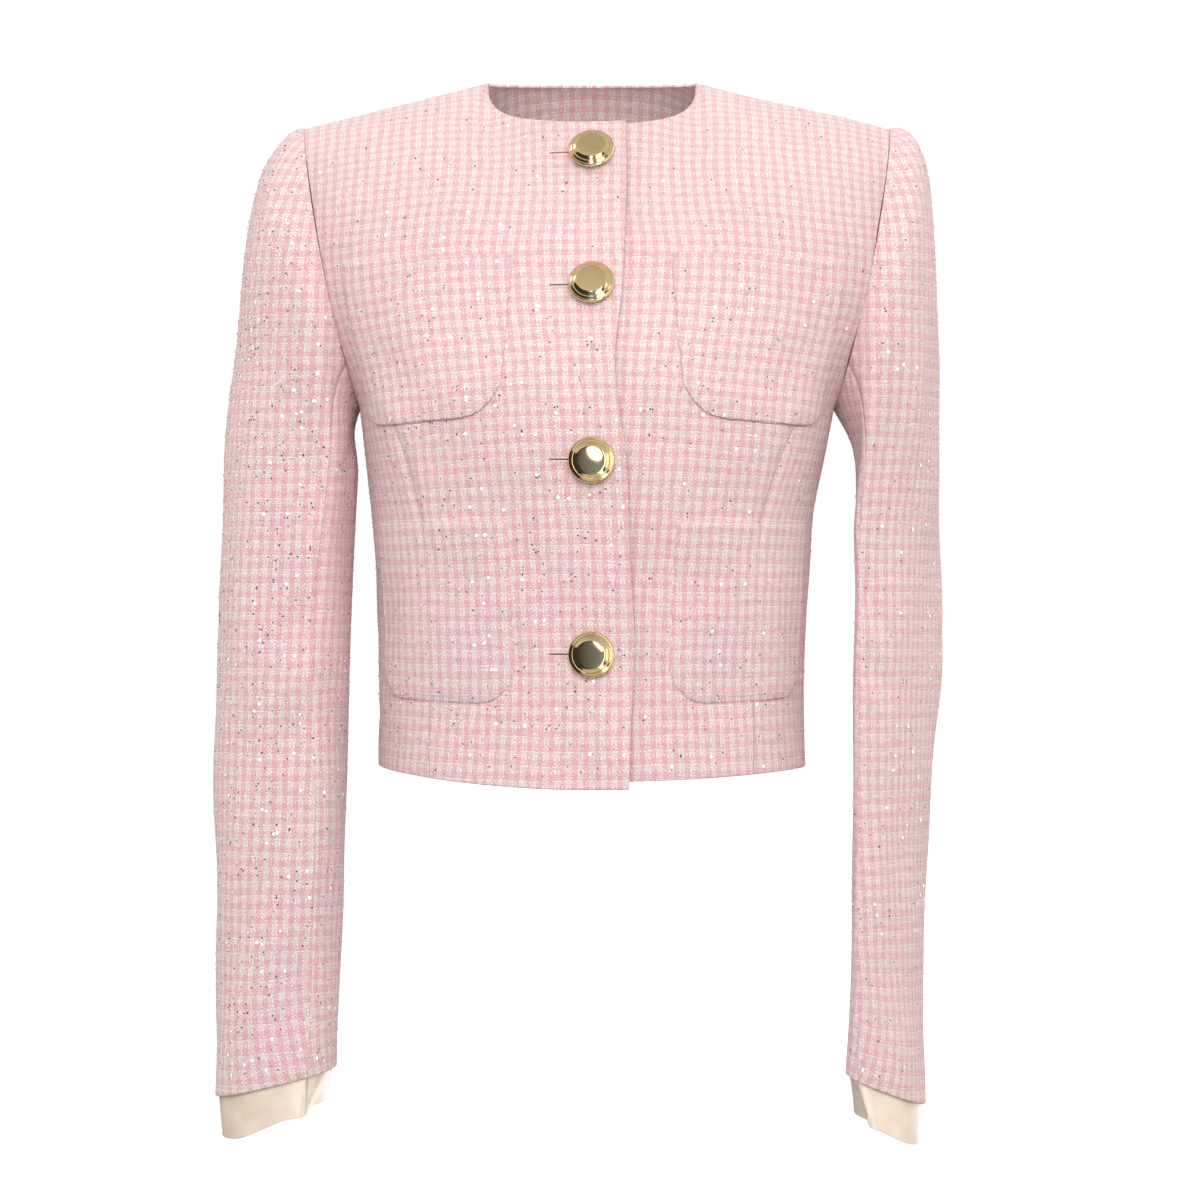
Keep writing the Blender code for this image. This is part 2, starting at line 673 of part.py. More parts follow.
def add_button(name, skin, under_skin, height, material):
    """Turns one button and sets it on the lapping front, with its shank through the cloth."""
    point, out = frame_at(skin, height)
    foot, _ = frame_at(under_skin, height)
    shank = float(np.dot(point - foot, out)) - LAYER_GAP
    radius = BUTTON_DIAMETER / 2
    back_level = BUTTON_GAP + BUTTON_OUTLINE[-1][1]
    outline = [(share * radius, level + BUTTON_GAP) for share, level in BUTTON_OUTLINE]
    outline += [(SHANK_DIAMETER / 2, back_level), (SHANK_DIAMETER / 2, -shank)]
    upright = np.cross(out, ACROSS)
    turns = 2 * np.pi * np.arange(BUTTON_SIDES) / BUTTON_SIDES
    around = np.cos(turns)[:, None] * ACROSS + np.sin(turns)[:, None] * upright
    mesh = bmesh.new()
    loops = []
    for reach, level in outline[1:]:
        loops.append([mesh.verts.new(place) for place in point + out * level + around * reach])
    crown = mesh.verts.new(point + out * outline[0][1])
    for side in range(BUTTON_SIDES):
        after = (side + 1) % BUTTON_SIDES
        mesh.faces.new((crown, loops[0][after], loops[0][side]))
        for upper, lower in zip(loops, loops[1:]):
            mesh.faces.new((upper[side], upper[after], lower[after], lower[side]))
    mesh.faces.new(loops[-1])
    bmesh.ops.recalc_face_normals(mesh, faces=mesh.faces)
    return add_object(name, mesh, material)


def buttonhole_outline():
    """A keyhole outline: a round eye for the shank, then a slit away from the free edge."""
    eye, slit = BUTTONHOLE_EYE / 2, BUTTONHOLE_SLIT / 2
    mouth = math.pi - math.asin(slit / eye)
    outline = [(eye * math.cos(turn), eye * math.sin(turn))
               for turn in np.linspace(-mouth, mouth, BUTTONHOLE_SIDES)]
    end = eye - BUTTONHOLE_LENGTH
    return outline + [(end, slit), (end, -slit)]


def cut_buttonhole(wall, name, skin, height):
    """Cuts one buttonhole through the lapping front."""
    point, out = frame_at(skin, height)
    upright = np.cross(out, ACROSS)
    outline = buttonhole_outline()
    cutter = bmesh.new()
    loops = []
    for level in (BUTTONHOLE_REACH, -BUTTONHOLE_REACH):
        places = [point + out * level + ACROSS * x + upright * z for x, z in outline]
        loops.append([cutter.verts.new(place) for place in places])
    cutter.faces.new(loops[0])
    cutter.faces.new(loops[1])
    for side in range(len(outline)):
        after = (side + 1) % len(outline)
        cutter.faces.new((loops[0][side], loops[0][after], loops[1][after], loops[1][side]))
    bmesh.ops.recalc_face_normals(cutter, faces=cutter.faces)
    item = add_object(name, cutter, wall.data.materials[0])
    item.hide_render = True
    item.display_type = "WIRE"
    cut = wall.modifiers.new(name, "BOOLEAN")
    cut.object = item
    cut.operation = "DIFFERENCE"
    cut.solver = "EXACT"


def main():
    """Builds every piece of the jacket from the three materials."""
    for item in list(bpy.data.objects):
        bpy.data.objects.remove(item)
    tweed = add_material("pink_tweed", PINK, 0.9)
    satin = add_material("cream_satin", CREAM, 0.35)
    metal = add_material("gold_metal", GOLD, 0.12, 1.0)

    left, left_normals = front_skin(False)
    lap, lap_normals = front_skin(True)
    right, right_normals = mirrored(lap), mirrored(lap_normals)
    back, back_normals = back_skin()
    add_wall("front_left", left, left_normals, TWEED_WALL, tweed)
    front_right = add_wall("front_right", right, right_normals, TWEED_WALL, tweed)
    add_wall("back", back, back_normals, TWEED_WALL, tweed)
    for index, height in enumerate(BUTTON_HEIGHTS, start=1):
        cut_buttonhole(front_right, f"buttonhole_{index}", right, height)
        add_button(f"button_{index}", right, left, height, metal)
    for side, skin, lean, flip in (
        ("left", left, left_normals, np.ones(3)),
        ("right", lap, lap_normals, MIRROR),
    ):
        for pocket in POCKETS:
            grid, normals = pocket_wall(skin, lean, pocket)
            add_wall(f"pocket_{pocket.name}_{side}", grid * flip, normals * flip, TWEED_WALL, tweed)
    for sleeve in SLEEVES:
        add_sleeve(sleeve, tweed, satin)


main()
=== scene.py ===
"""A cropped, collarless tweed jacket in its worn form, dressed in its cloth and metal.

Each sub-assembly is a class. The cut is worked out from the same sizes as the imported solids,
on a finer grid, and every cloth piece carries its grain as a UV layer in metres, so the check,
the yarns and the sequins follow the cloth.
"""

from __future__ import annotations

import logging
import math
from dataclasses import dataclass, field
from enum import Enum

import bmesh
import bpy
import numpy as np
from bmesh.types import BMesh
from bpy.types import Material, NodeSocket, Object
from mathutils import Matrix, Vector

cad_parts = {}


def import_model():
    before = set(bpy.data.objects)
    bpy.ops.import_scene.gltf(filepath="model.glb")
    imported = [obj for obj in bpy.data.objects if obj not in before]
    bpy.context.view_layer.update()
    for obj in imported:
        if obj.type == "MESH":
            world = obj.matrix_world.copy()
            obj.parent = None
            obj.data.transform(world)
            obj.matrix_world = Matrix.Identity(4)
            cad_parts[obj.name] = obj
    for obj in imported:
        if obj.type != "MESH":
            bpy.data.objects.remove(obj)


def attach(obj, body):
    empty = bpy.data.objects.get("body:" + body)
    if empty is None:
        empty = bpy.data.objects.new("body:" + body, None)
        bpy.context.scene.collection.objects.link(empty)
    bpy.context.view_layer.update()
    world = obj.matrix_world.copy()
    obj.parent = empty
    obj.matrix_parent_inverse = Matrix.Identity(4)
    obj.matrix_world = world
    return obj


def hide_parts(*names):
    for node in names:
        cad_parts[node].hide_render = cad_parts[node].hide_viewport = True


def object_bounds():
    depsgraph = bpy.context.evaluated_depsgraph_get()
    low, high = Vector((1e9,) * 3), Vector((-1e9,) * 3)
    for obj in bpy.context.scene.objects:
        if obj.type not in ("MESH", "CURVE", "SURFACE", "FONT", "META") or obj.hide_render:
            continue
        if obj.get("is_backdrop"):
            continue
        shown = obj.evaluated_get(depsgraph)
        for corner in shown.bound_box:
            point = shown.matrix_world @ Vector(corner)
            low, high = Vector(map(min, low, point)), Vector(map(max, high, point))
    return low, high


Grid = np.ndarray
Pair = tuple[float, float]
Triple = tuple[float, float, float]
Shade = tuple[int, int, int]
Stops = tuple[tuple[float, Triple], ...]

LOG = logging.getLogger("jacket")
ROOT = "root"
GRAIN_LAYER = "grain"
GRAIN_ROUNDS = 700
MIRROR = np.array([-1.0, 1.0, 1.0])
ACROSS = np.array([1.0, 0.0, 0.0])
UPRIGHT = np.array([0.0, 0.0, 1.0])
CALM_ROWS = 10.0
SECTION_SAMPLES = 480
RIM_STEPS = (0.0, 0.06, 0.20, 0.42, 0.70, 1.0)
RIM_LEFT = 0.05
# The repeat of the tweed's check, across and along
CHECK = (0.0072, 0.0091)


class Side(Enum):
    """The wearer's side that a piece is on."""

    LEFT = "left"
    RIGHT = "right"

    @property
    def flip(self) -> Grid:
        """The factors that take a +X piece to this side."""
        return MIRROR if self is Side.RIGHT else np.ones(3)


class Slot(Enum):
    """The material slots of the part."""

    TWEED = "pink_tweed"
    SATIN = "cream_satin"
    METAL = "gold_metal"


# ---- curves and grids


def spline_columns(shade_specks: Grid, values: Grid, at: Grid) -> Grid:
    """Reads smooth curves through rows of values.

    Args:
        shade_specks: Rising places of the rows.
        values: One row of values for each knot.
        at: The places to read.

    Returns:
        One row of values for each place.
    """
    shade_specks = np.asarray(shade_specks, float)
    values = np.asarray(values, float)
    at = np.asarray(at, float)
    slopes = np.gradient(values, shade_specks, axis=0)
    place = np.clip(np.searchsorted(shade_specks, at, side="right") - 1, 0, len(shade_specks) - 2)
    span = (shade_specks[place + 1] - shade_specks[place])[:, None]
    f = (at[:, None] - shade_specks[place][:, None]) / span
    rise_in, rise_out = slopes[place] * span, slopes[place + 1] * span
    return (
        (2 * f**3 - 3 * f**2 + 1) * values[place]
        + (f**3 - 2 * f**2 + f) * rise_in
        + (3 * f**2 - 2 * f**3) * values[place + 1]
        + (f**3 - f**2) * rise_out
    )


def signed_power(value: Grid, power: float) -> Grid:
    """Raises the size of a number to a power and keeps its sign."""
    return np.sign(value) * np.abs(value) ** power


def unit(vectors: Grid) -> Grid:
    """Vectors of length one along the last axis."""
    return vectors / np.maximum(np.linalg.norm(vectors, axis=-1, keepdims=True), 1e-12)


def ease(share: Grid) -> Grid:
    """0 to 1, with level ends."""
    share = np.clip(share, 0.0, 1.0)
    return share * share * (3 - 2 * share)


def softened(values: Grid, passes: int) -> Grid:
    """Values along a line after some rounds of averaging with their neighbours; the ends stay.

    Args:
        values: The values.
        passes: How many rounds.

    Returns:
        The softened values.
    """
    values = values.copy()
    for _ in range(passes):
        values[1:-1] = (values[:-2] + 2 * values[1:-1] + values[2:]) / 4
    return values


def run_along(curve: Grid) -> Grid:
    """The length along a curve at each of its points."""
    steps = np.linalg.norm(np.diff(curve, axis=0), axis=-1)
    return np.concatenate((np.zeros_like(steps[:1]), np.cumsum(steps, axis=0)))


def read_at(curve: Grid, runs: Grid) -> Grid:
    """The points of a curve at some lengths along it."""
    along = run_along(curve)
    return np.stack([np.interp(runs, along, curve[:, axis]) for axis in range(3)], axis=-1)


def surface_normals(skin: Grid, closed: bool) -> Grid:
    """Unit normals of a grid of points.

    Args:
        skin: The grid of points, rows by columns by 3.
        closed: Whether the last column meets the first.

    Returns:
        The grid of normals, all to one side.
    """
    down = -np.gradient(skin, axis=0, edge_order=2)
    if closed:
        around = np.roll(skin, -1, axis=1) - np.roll(skin, 1, axis=1)
    else:
        around = np.gradient(skin, axis=1, edge_order=2)
    return unit(np.cross(down, around))


def read_grid(grid: Grid, row: Grid, column: Grid) -> Grid:
    """Points between the points of a grid.

    Args:
        grid: Rows by columns by any number of values.
        row: Part rows to read.
        column: Part columns to read, of the same shape.

    Returns:
        The values there.
    """
    r = np.clip(np.floor(row).astype(int), 0, grid.shape[0] - 2)
    c = np.clip(np.floor(column).astype(int), 0, grid.shape[1] - 2)
    down, side = (row - r)[..., None], (column - c)[..., None]
    near = grid[r, c] * (1 - side) + grid[r, c + 1] * side
    far = grid[r + 1, c] * (1 - side) + grid[r + 1, c + 1] * side
    return near * (1 - down) + far * down


def lay_grain(skin: Grid, level: Grid, normals: Grid, from_row: int, zero: int) -> Grid:
    """Lays the cloth's straight grain on a skin whose rows rise, with the least stretch.

    Up to one row the threads across follow the rows. Above it they keep the level directions,
    so the check runs straight into the neckline, the armhole and the sleeve's head.

    Args:
        skin: Rows by columns by 3.
        level: The direction of the threads across, for each point.
        normals: Outward unit vectors.
        from_row: The last row that follows a thread.
        zero: The column where the threads across start.

    Returns:
        Rows by columns by 2, in metres across and along.
    """
    rows = len(skin)
    along_row = unit(np.gradient(skin, axis=1))
    level = level * np.sign(np.sum(level * along_row))
    share = ease((np.arange(rows) - from_row) / (rows * 0.12))[:, None, None]
    across = unit(along_row * (1 - share) + level * share)
    up = np.cross(normals, across)
    up *= np.sign(np.sum(up[0] * (skin[1] - skin[0])))
    ways = np.stack([across, up], axis=-1)
    down, side = np.diff(skin, axis=0), np.diff(skin, axis=1)
    goals = (
        np.einsum("rcx,rcxk->rck", down, (ways[1:] + ways[:-1]) / 2),
        np.einsum("rcx,rcxk->rck", side, (ways[:, 1:] + ways[:, :-1]) / 2),
    )
    weights = [1 / (np.sum(step**2, axis=2, keepdims=True) + 1e-7) for step in (down, side)]
    grain = np.cumsum(np.concatenate([np.zeros_like(ways[:, :1, 0]), goals[1]], axis=1), axis=1)
    grain += np.cumsum(np.concatenate([np.zeros((1, 2)), goals[0][:, zero]]), axis=0)[:, None]
    grain = least_stretch(grain, goals, weights)
    return grain - grain[from_row, zero]


def least_stretch(values: Grid, goals: tuple[Grid, ...], weights: list[Grid]) -> Grid:
    """Values on a grid whose steps come closest to those wanted, by conjugate gradients.

    Args:
        values: The first guess, rows by columns by any number.
        goals: The wanted steps between rows and between columns.
        weights: How much each step counts.

    Returns:
        The values, up to one constant.
    """

    def pull(steps: tuple[Grid, ...]) -> Grid:
        """What the weighted steps leave over at each point.

        Args:
            steps: The steps between rows and between columns.

        Returns:
            One value for each point.
        """
        total = np.zeros_like(values)
        flow = [step * weight for step, weight in zip(steps, weights)]
        total[1:] += flow[0]
        total[:-1] -= flow[0]
        total[:, 1:] += flow[1]
        total[:, :-1] -= flow[1]
        return total

    def apply(grid: Grid) -> Grid:
        """The pull of a grid's own steps."""
        return pull((np.diff(grid, axis=0), np.diff(grid, axis=1)))

    held = np.zeros((*values.shape[:2], 1))
    held[1:] += weights[0]
    held[:-1] += weights[0]
    held[:, 1:] += weights[1]
    held[:, :-1] += weights[1]
    left = pull(goals) - apply(values)
    way, power = left / held, np.sum(left**2 / held)
    for _ in range(GRAIN_ROUNDS):
        pushed = apply(way)
        reach = power / max(float(np.sum(way * pushed)), 1e-30)
        values = values + way * reach
        left = left - pushed * reach
        fresh = np.sum(left**2 / held)
        way, power = left / held + way * (fresh / max(float(power), 1e-30)), fresh
    return values


@dataclass(frozen=True)
class Crease:
    """A soft ridge along a line of the cloth, with its half width; a depth under 0 is a trough."""

    start: Pair
    end: Pair
    width: float
    depth: float

    def relief(self, places: Grid, wrap: float = 0.0) -> Grid:
        """The height that the crease gives at each place.

        Args:
            places: Metres across and along.
            wrap: The whole way round, where the cloth is a tube.

        Returns:
            The heights.
        """
        first, last = np.array(self.start), np.array(self.end)
        line = last - first
        length = np.linalg.norm(line)
        away = places - (first + last) / 2
        if wrap:
            away[..., 0] -= np.round(away[..., 0] / wrap) * wrap
        along = away @ line / length**2
        aside = (away[..., 0] * line[1] - away[..., 1] * line[0]) / length
        fade = ease(1.0 - np.abs(along) / 0.62)
        return self.depth * fade * np.exp(-((aside / self.width) ** 2))


def creases(*rows: tuple[float, ...]) -> tuple[Crease, ...]:
    """Creases from rows of millimetres: both ends across and along, the half width and the height."""
    sizes = np.array(rows) * 0.001
    return tuple(Crease((x, y), (to_x, to_y), width, depth) for x, y, to_x, to_y, width, depth in sizes)


def uneven(points: Grid, size: Pair, height: float, seed: int) -> Grid:
    """A gentle unevenness of hanging cloth, from a few crossing waves.

    Args:
        points: Places in space.
        size: The usual wave length across and upwards.
        height: The usual height.
        seed: Picks the waves.

    Returns:
        The height at each place.
    """
    rng = np.random.default_rng(seed)
    total = np.zeros(points.shape[:-1])
    for _ in range(9):
        heading = rng.uniform(0.0, 2 * math.pi)
        across = 2 * math.pi / (size[0] * rng.uniform(0.7, 1.8))
        upward = rng.choice([-1.0, 1.0]) * 2 * math.pi / (size[1] * rng.uniform(0.7, 1.8))
        wave = np.array([math.cos(heading) * across, math.sin(heading) * across, upward])
        total += np.sin(points @ wave + rng.uniform(0.0, 2 * math.pi))
    return total * height / 3


# ---- cloth panels


@dataclass(frozen=True)
class Cloth:
    """The thicknesses and gaps of the jacket's cloth, in metres."""

    tweed: float = 0.0020
    satin: float = 0.0012
    seam_gap: float = 0.00010
    layer_gap: float = 0.0004
    pocket_gap: float = 0.0003
    lap_gap: float = 0.0009


CLOTH = Cloth()


@dataclass(frozen=True)
class Edges:
    """How far the four edges of a panel are rounded, in metres."""

    low: float = 0.0009
    high: float = 0.0009
    first: float = 0.0005
    last: float = 0.0005


def close_rows(data: Grid, radius: float) -> Grid:
    """Lays close rows along a grid's first edge, so that the edge can be rounded.

    Args:
        data: Rows by columns by values, the first three of which are a point.
        radius: How far the rounding reaches in.

    Returns:
        The grid with its new first rows.
    """
    run = run_along(data[..., :3])
    keep = int(np.argmax(run.min(axis=1) > radius * 1.4))
    columns = np.arange(data.shape[1])
    rows = []
    for share in RIM_STEPS:
        at = share * radius
        index = np.clip((run <= at).sum(axis=0) - 1, 0, len(run) - 2)
        part = ((at - run[index, columns]) / (run[index + 1, columns] - run[index, columns]))[:, None]
        rows.append(data[index, columns] * (1 - part) + data[index + 1, columns] * part)
    return np.concatenate([np.array(rows), data[keep:]])


@dataclass
class Panel:
    """One cut piece of cloth: its outer skin and normals, rows by columns by 3, and its grain.

    The grain is in metres across and along. In a closed panel the last column meets the first.
    """

    skin: Grid
    normals: Grid
    grain: Grid
    closed: bool = False

    def on_side(self, side: Side) -> Panel:
        """The panel on one side of the body."""
        return Panel(self.skin * side.flip, self.normals * side.flip, self.grain, self.closed)

    def raised(self, height: Grid) -> Panel:
        """The panel with each point moved along its normal.

        Args:
            height: One height for each point.

        Returns:
            The moved panel, with the normals of its new form.
        """
        skin = self.skin + self.normals * height[..., None]
        normals = surface_normals(skin, self.closed)
        normals *= np.sign(np.sum(normals * self.normals, axis=2, keepdims=True))
        return Panel(skin, normals, self.grain, self.closed)

    def columns(self, picked: list[int], trim: float) -> Panel:
        """A run of the panel's columns, with its two edges pulled in by a trim.

        Args:
            picked: The columns' numbers.
            trim: How far each edge is pulled in.

        Returns:
            The smaller panel.
        """
        skin, normals = self.skin[:, picked].copy(), self.normals[:, picked]
        for edge, inner in ((0, 1), (-1, -2)):
            skin[:, edge] += unit(skin[:, inner] - skin[:, edge]) * trim
        return Panel(skin, normals, self.grain[:, picked])

    def whole_skin(self) -> Grid:
        """The skin with its first column again at the end, where it is a tube."""
        return np.concatenate([self.skin, self.skin[:, :1]], axis=1) if self.closed else self.skin

    def area(self) -> float:
        """The area of the outer skin in square metres.

        Returns:
            The area.
        """
        skin = self.whole_skin()
        across = np.diff(skin, axis=1)[:-1]
        along = np.diff(skin, axis=0)[:, :-1]
        return float(np.linalg.norm(np.cross(across, along), axis=2).sum())

    def cut_size(self) -> Pair:
        """The width and length of the flat cut: the longest ways across and along the skin.

        Returns:
            Both in metres.
        """
        skin = self.whole_skin()
        across = run_along(skin.transpose(1, 0, 2))[-1].max()
        return float(across), float(run_along(skin)[-1].max())

    def edge_relief(self, edges: Edges) -> Grid:
        """How far the skin falls at each point to round the four edges, from 0 to 1.

        Args:
            edges: How far each edge is rounded.

        Returns:
            The fall at each point.
        """
        run = run_along(self.skin)
        across = np.maximum(1 - run / edges.low, 1 - (run[-1] - run) / edges.high)
        side = np.zeros_like(run)
        if not self.closed:
            run = run_along(self.skin.transpose(1, 0, 2)).T
            side = np.maximum(1 - run / edges.first, 1 - (run[:, -1:] - run) / edges.last)
        reach = np.clip(np.hypot(np.clip(across, 0, 1), np.clip(side, 0, 1)), 0.0, 1.0)
        return (1 - np.sqrt(1 - reach**2)) * (1 - RIM_LEFT)

    def rimmed(self, edges: Edges) -> Panel:
        """The panel with close rows and columns along its edges.

        Args:
            edges: How far each edge is rounded.

        Returns:
            The finer panel.
        """
        data = np.concatenate([self.skin, self.normals, self.grain], axis=2)
        data = close_rows(data, edges.low)
        data = close_rows(data[::-1], edges.high)[::-1]
        if not self.closed:
            data = close_rows(data.transpose(1, 0, 2), edges.first)
            data = close_rows(data[::-1], edges.last)[::-1].transpose(1, 0, 2)
        return Panel(data[..., :3], unit(data[..., 3:6]), data[..., 6:8], self.closed)

    def wall(self, name: str, thickness: float, edges: Edges) -> Object:
        """Makes the closed wall of cloth with rounded edges.

        Args:
            name: The piece's name.
            thickness: The wall, measured inwards from the skin.
            edges: How far each edge is rounded.

        Returns:
            The object, with its grain as a UV layer.
        """
        fine = self.rimmed(edges)
        fall = (fine.edge_relief(edges) * thickness / 2)[..., None]
        outer = fine.skin - fine.normals * fall
        inner = fine.skin - fine.normals * (thickness - fall)
        rows, columns = outer.shape[:2]
        index = np.arange(rows * columns).reshape(rows, columns)
        last = columns if self.closed else columns - 1
        here, after = index[:, :last], np.roll(index, -1, axis=1)[:, :last]
        outside = np.stack([here[:-1], after[:-1], after[1:], here[1:]], axis=-1).reshape(-1, 4)
        under = rows * columns
        faces = [outside, outside[:, ::-1] + under]
        ends = [(here[0], after[0]), (after[-1], here[-1])]
        if not self.closed:
            ends += [(index[1:, 0], index[:-1, 0]), (index[:-1, -1], index[1:, -1])]
        for start, stop in ends:
            faces.append(np.stack([start, start + under, stop + under, stop], axis=-1))
        quads = np.concatenate(faces)
        points = np.concatenate([outer.reshape(-1, 3), inner.reshape(-1, 3)])
        middle = outside[len(outside) // 2]
        facing = np.cross(points[middle[1]] - points[middle[0]], points[middle[3]] - points[middle[0]])
        if facing @ fine.normals.reshape(-1, 3)[middle[0]] < 0:
            quads = quads[:, ::-1]
        return cloth_object(name, points, quads, np.tile(fine.grain.reshape(-1, 2), (2, 1)))


def cloth_object(name: str, points: Grid, faces: Grid, grain: Grid) -> Object:
    """Makes a smooth object whose points carry their place in the cloth.

    Args:
        name: The piece's name.
        points: Its points in metres.
        faces: The numbers of the points of each face.
        grain: Metres across and along, for each point.

    Returns:
        The object, linked to the scene.
    """
    mesh = bpy.data.meshes.new(name)
    mesh.from_pydata(points, [], faces.tolist())
    layer = mesh.uv_layers.new(name=GRAIN_LAYER)
    layer.data.foreach_set("uv", grain[faces.reshape(-1)].astype(np.float32).ravel())
    mesh.shade_smooth()
    return linked(name, mesh)


def linked(name: str, data: bpy.types.ID) -> Object:
    """Makes an object of a mesh, a light or a camera and links it to the scene.

    Args:
        name: The object's name.
        data: What it shows.

    Returns:
        The object.
    """
    item = bpy.data.objects.new(name, data)
    bpy.context.scene.collection.objects.link(item)
    return item


def solid(name: str, mesh: BMesh) -> Object:
    """Makes an object of a mesh that is done, with its faces turned outwards.

    Args:
        name: The object's name.
        mesh: The mesh, which is freed.

    Returns:
        The object, linked to the scene.
    """
    bmesh.ops.recalc_face_normals(mesh, faces=mesh.faces)
    data = bpy.data.meshes.new(name)
    mesh.to_mesh(data)
    mesh.free()
    return linked(name, data)


def bridge(mesh: BMesh, loops: list[list[bmesh.types.BMVert]]) -> None:
    """Joins each loop of points to the next one with faces.

    Args:
        mesh: Where the faces go.
        loops: The loops, one after the other.
    """
    for low, high in zip(loops, loops[1:]):
        for side in range(len(low)):
            mesh.faces.new((low[side - 1], low[side], high[side], high[side - 1]))


def dress(piece: Object, finish: Material, node: str = "") -> Object:
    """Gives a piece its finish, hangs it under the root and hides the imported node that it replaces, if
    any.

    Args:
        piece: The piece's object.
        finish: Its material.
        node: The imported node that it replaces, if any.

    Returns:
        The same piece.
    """
    piece.data.materials.clear()
    piece.data.materials.append(finish)
    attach(piece, ROOT)
    if node:
        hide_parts(node)
    LOG.info("%s: %d faces", piece.name, len(piece.data.polygons))
    return piece


def cloth_piece(
    panel: Panel, node: str, slot: Slot, finish: Material, edges: Edges
) -> Object:
    """Args:
        panel: The panel.
        node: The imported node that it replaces.
        slot: The part's material slot.
        finish: Its material.
        edges: How far each edge is rounded.

    Returns:
        The piece.
    """
    kind = "satin" if slot is Slot.SATIN else "tweed"
    piece = panel.wall(f"{node}_{kind}", getattr(CLOTH, kind), edges)
    dress(piece, finish, node)
    width, length = panel.cut_size()
    return piece


# ---- the body's cut


@dataclass(frozen=True)
class BodyLevel:
    """One level of a body panel, from its middle line to the side seam."""

    middle_z: float
    middle_y: float
    side_x: float
    side_z: float
    squareness: float


@dataclass(frozen=True)
class Dart:
    """The dart that takes in each front under the bust.

    Its line runs so far round from the middle line at each height. It shows from its top to its
    end, and takes in some width of cloth at its widest.
    """

    heights: tuple[float, ...] = (-0.460, -0.330, -0.290, -0.255, -0.225, -0.190)
    runs: tuple[float, ...] = (0.108, 0.108, 0.112, 0.122, 0.135, 0.142)
    top: float = -0.208
    end: float = -0.310
    depth: float = 0.0009
    half_width: float = 0.0022
    taken: float = 0.0144
    top_ease: float = 0.035
    end_ease: float = 0.015
    swell: float = 0.0009
    swell_at: float = 0.008
    swell_width: float = 0.006


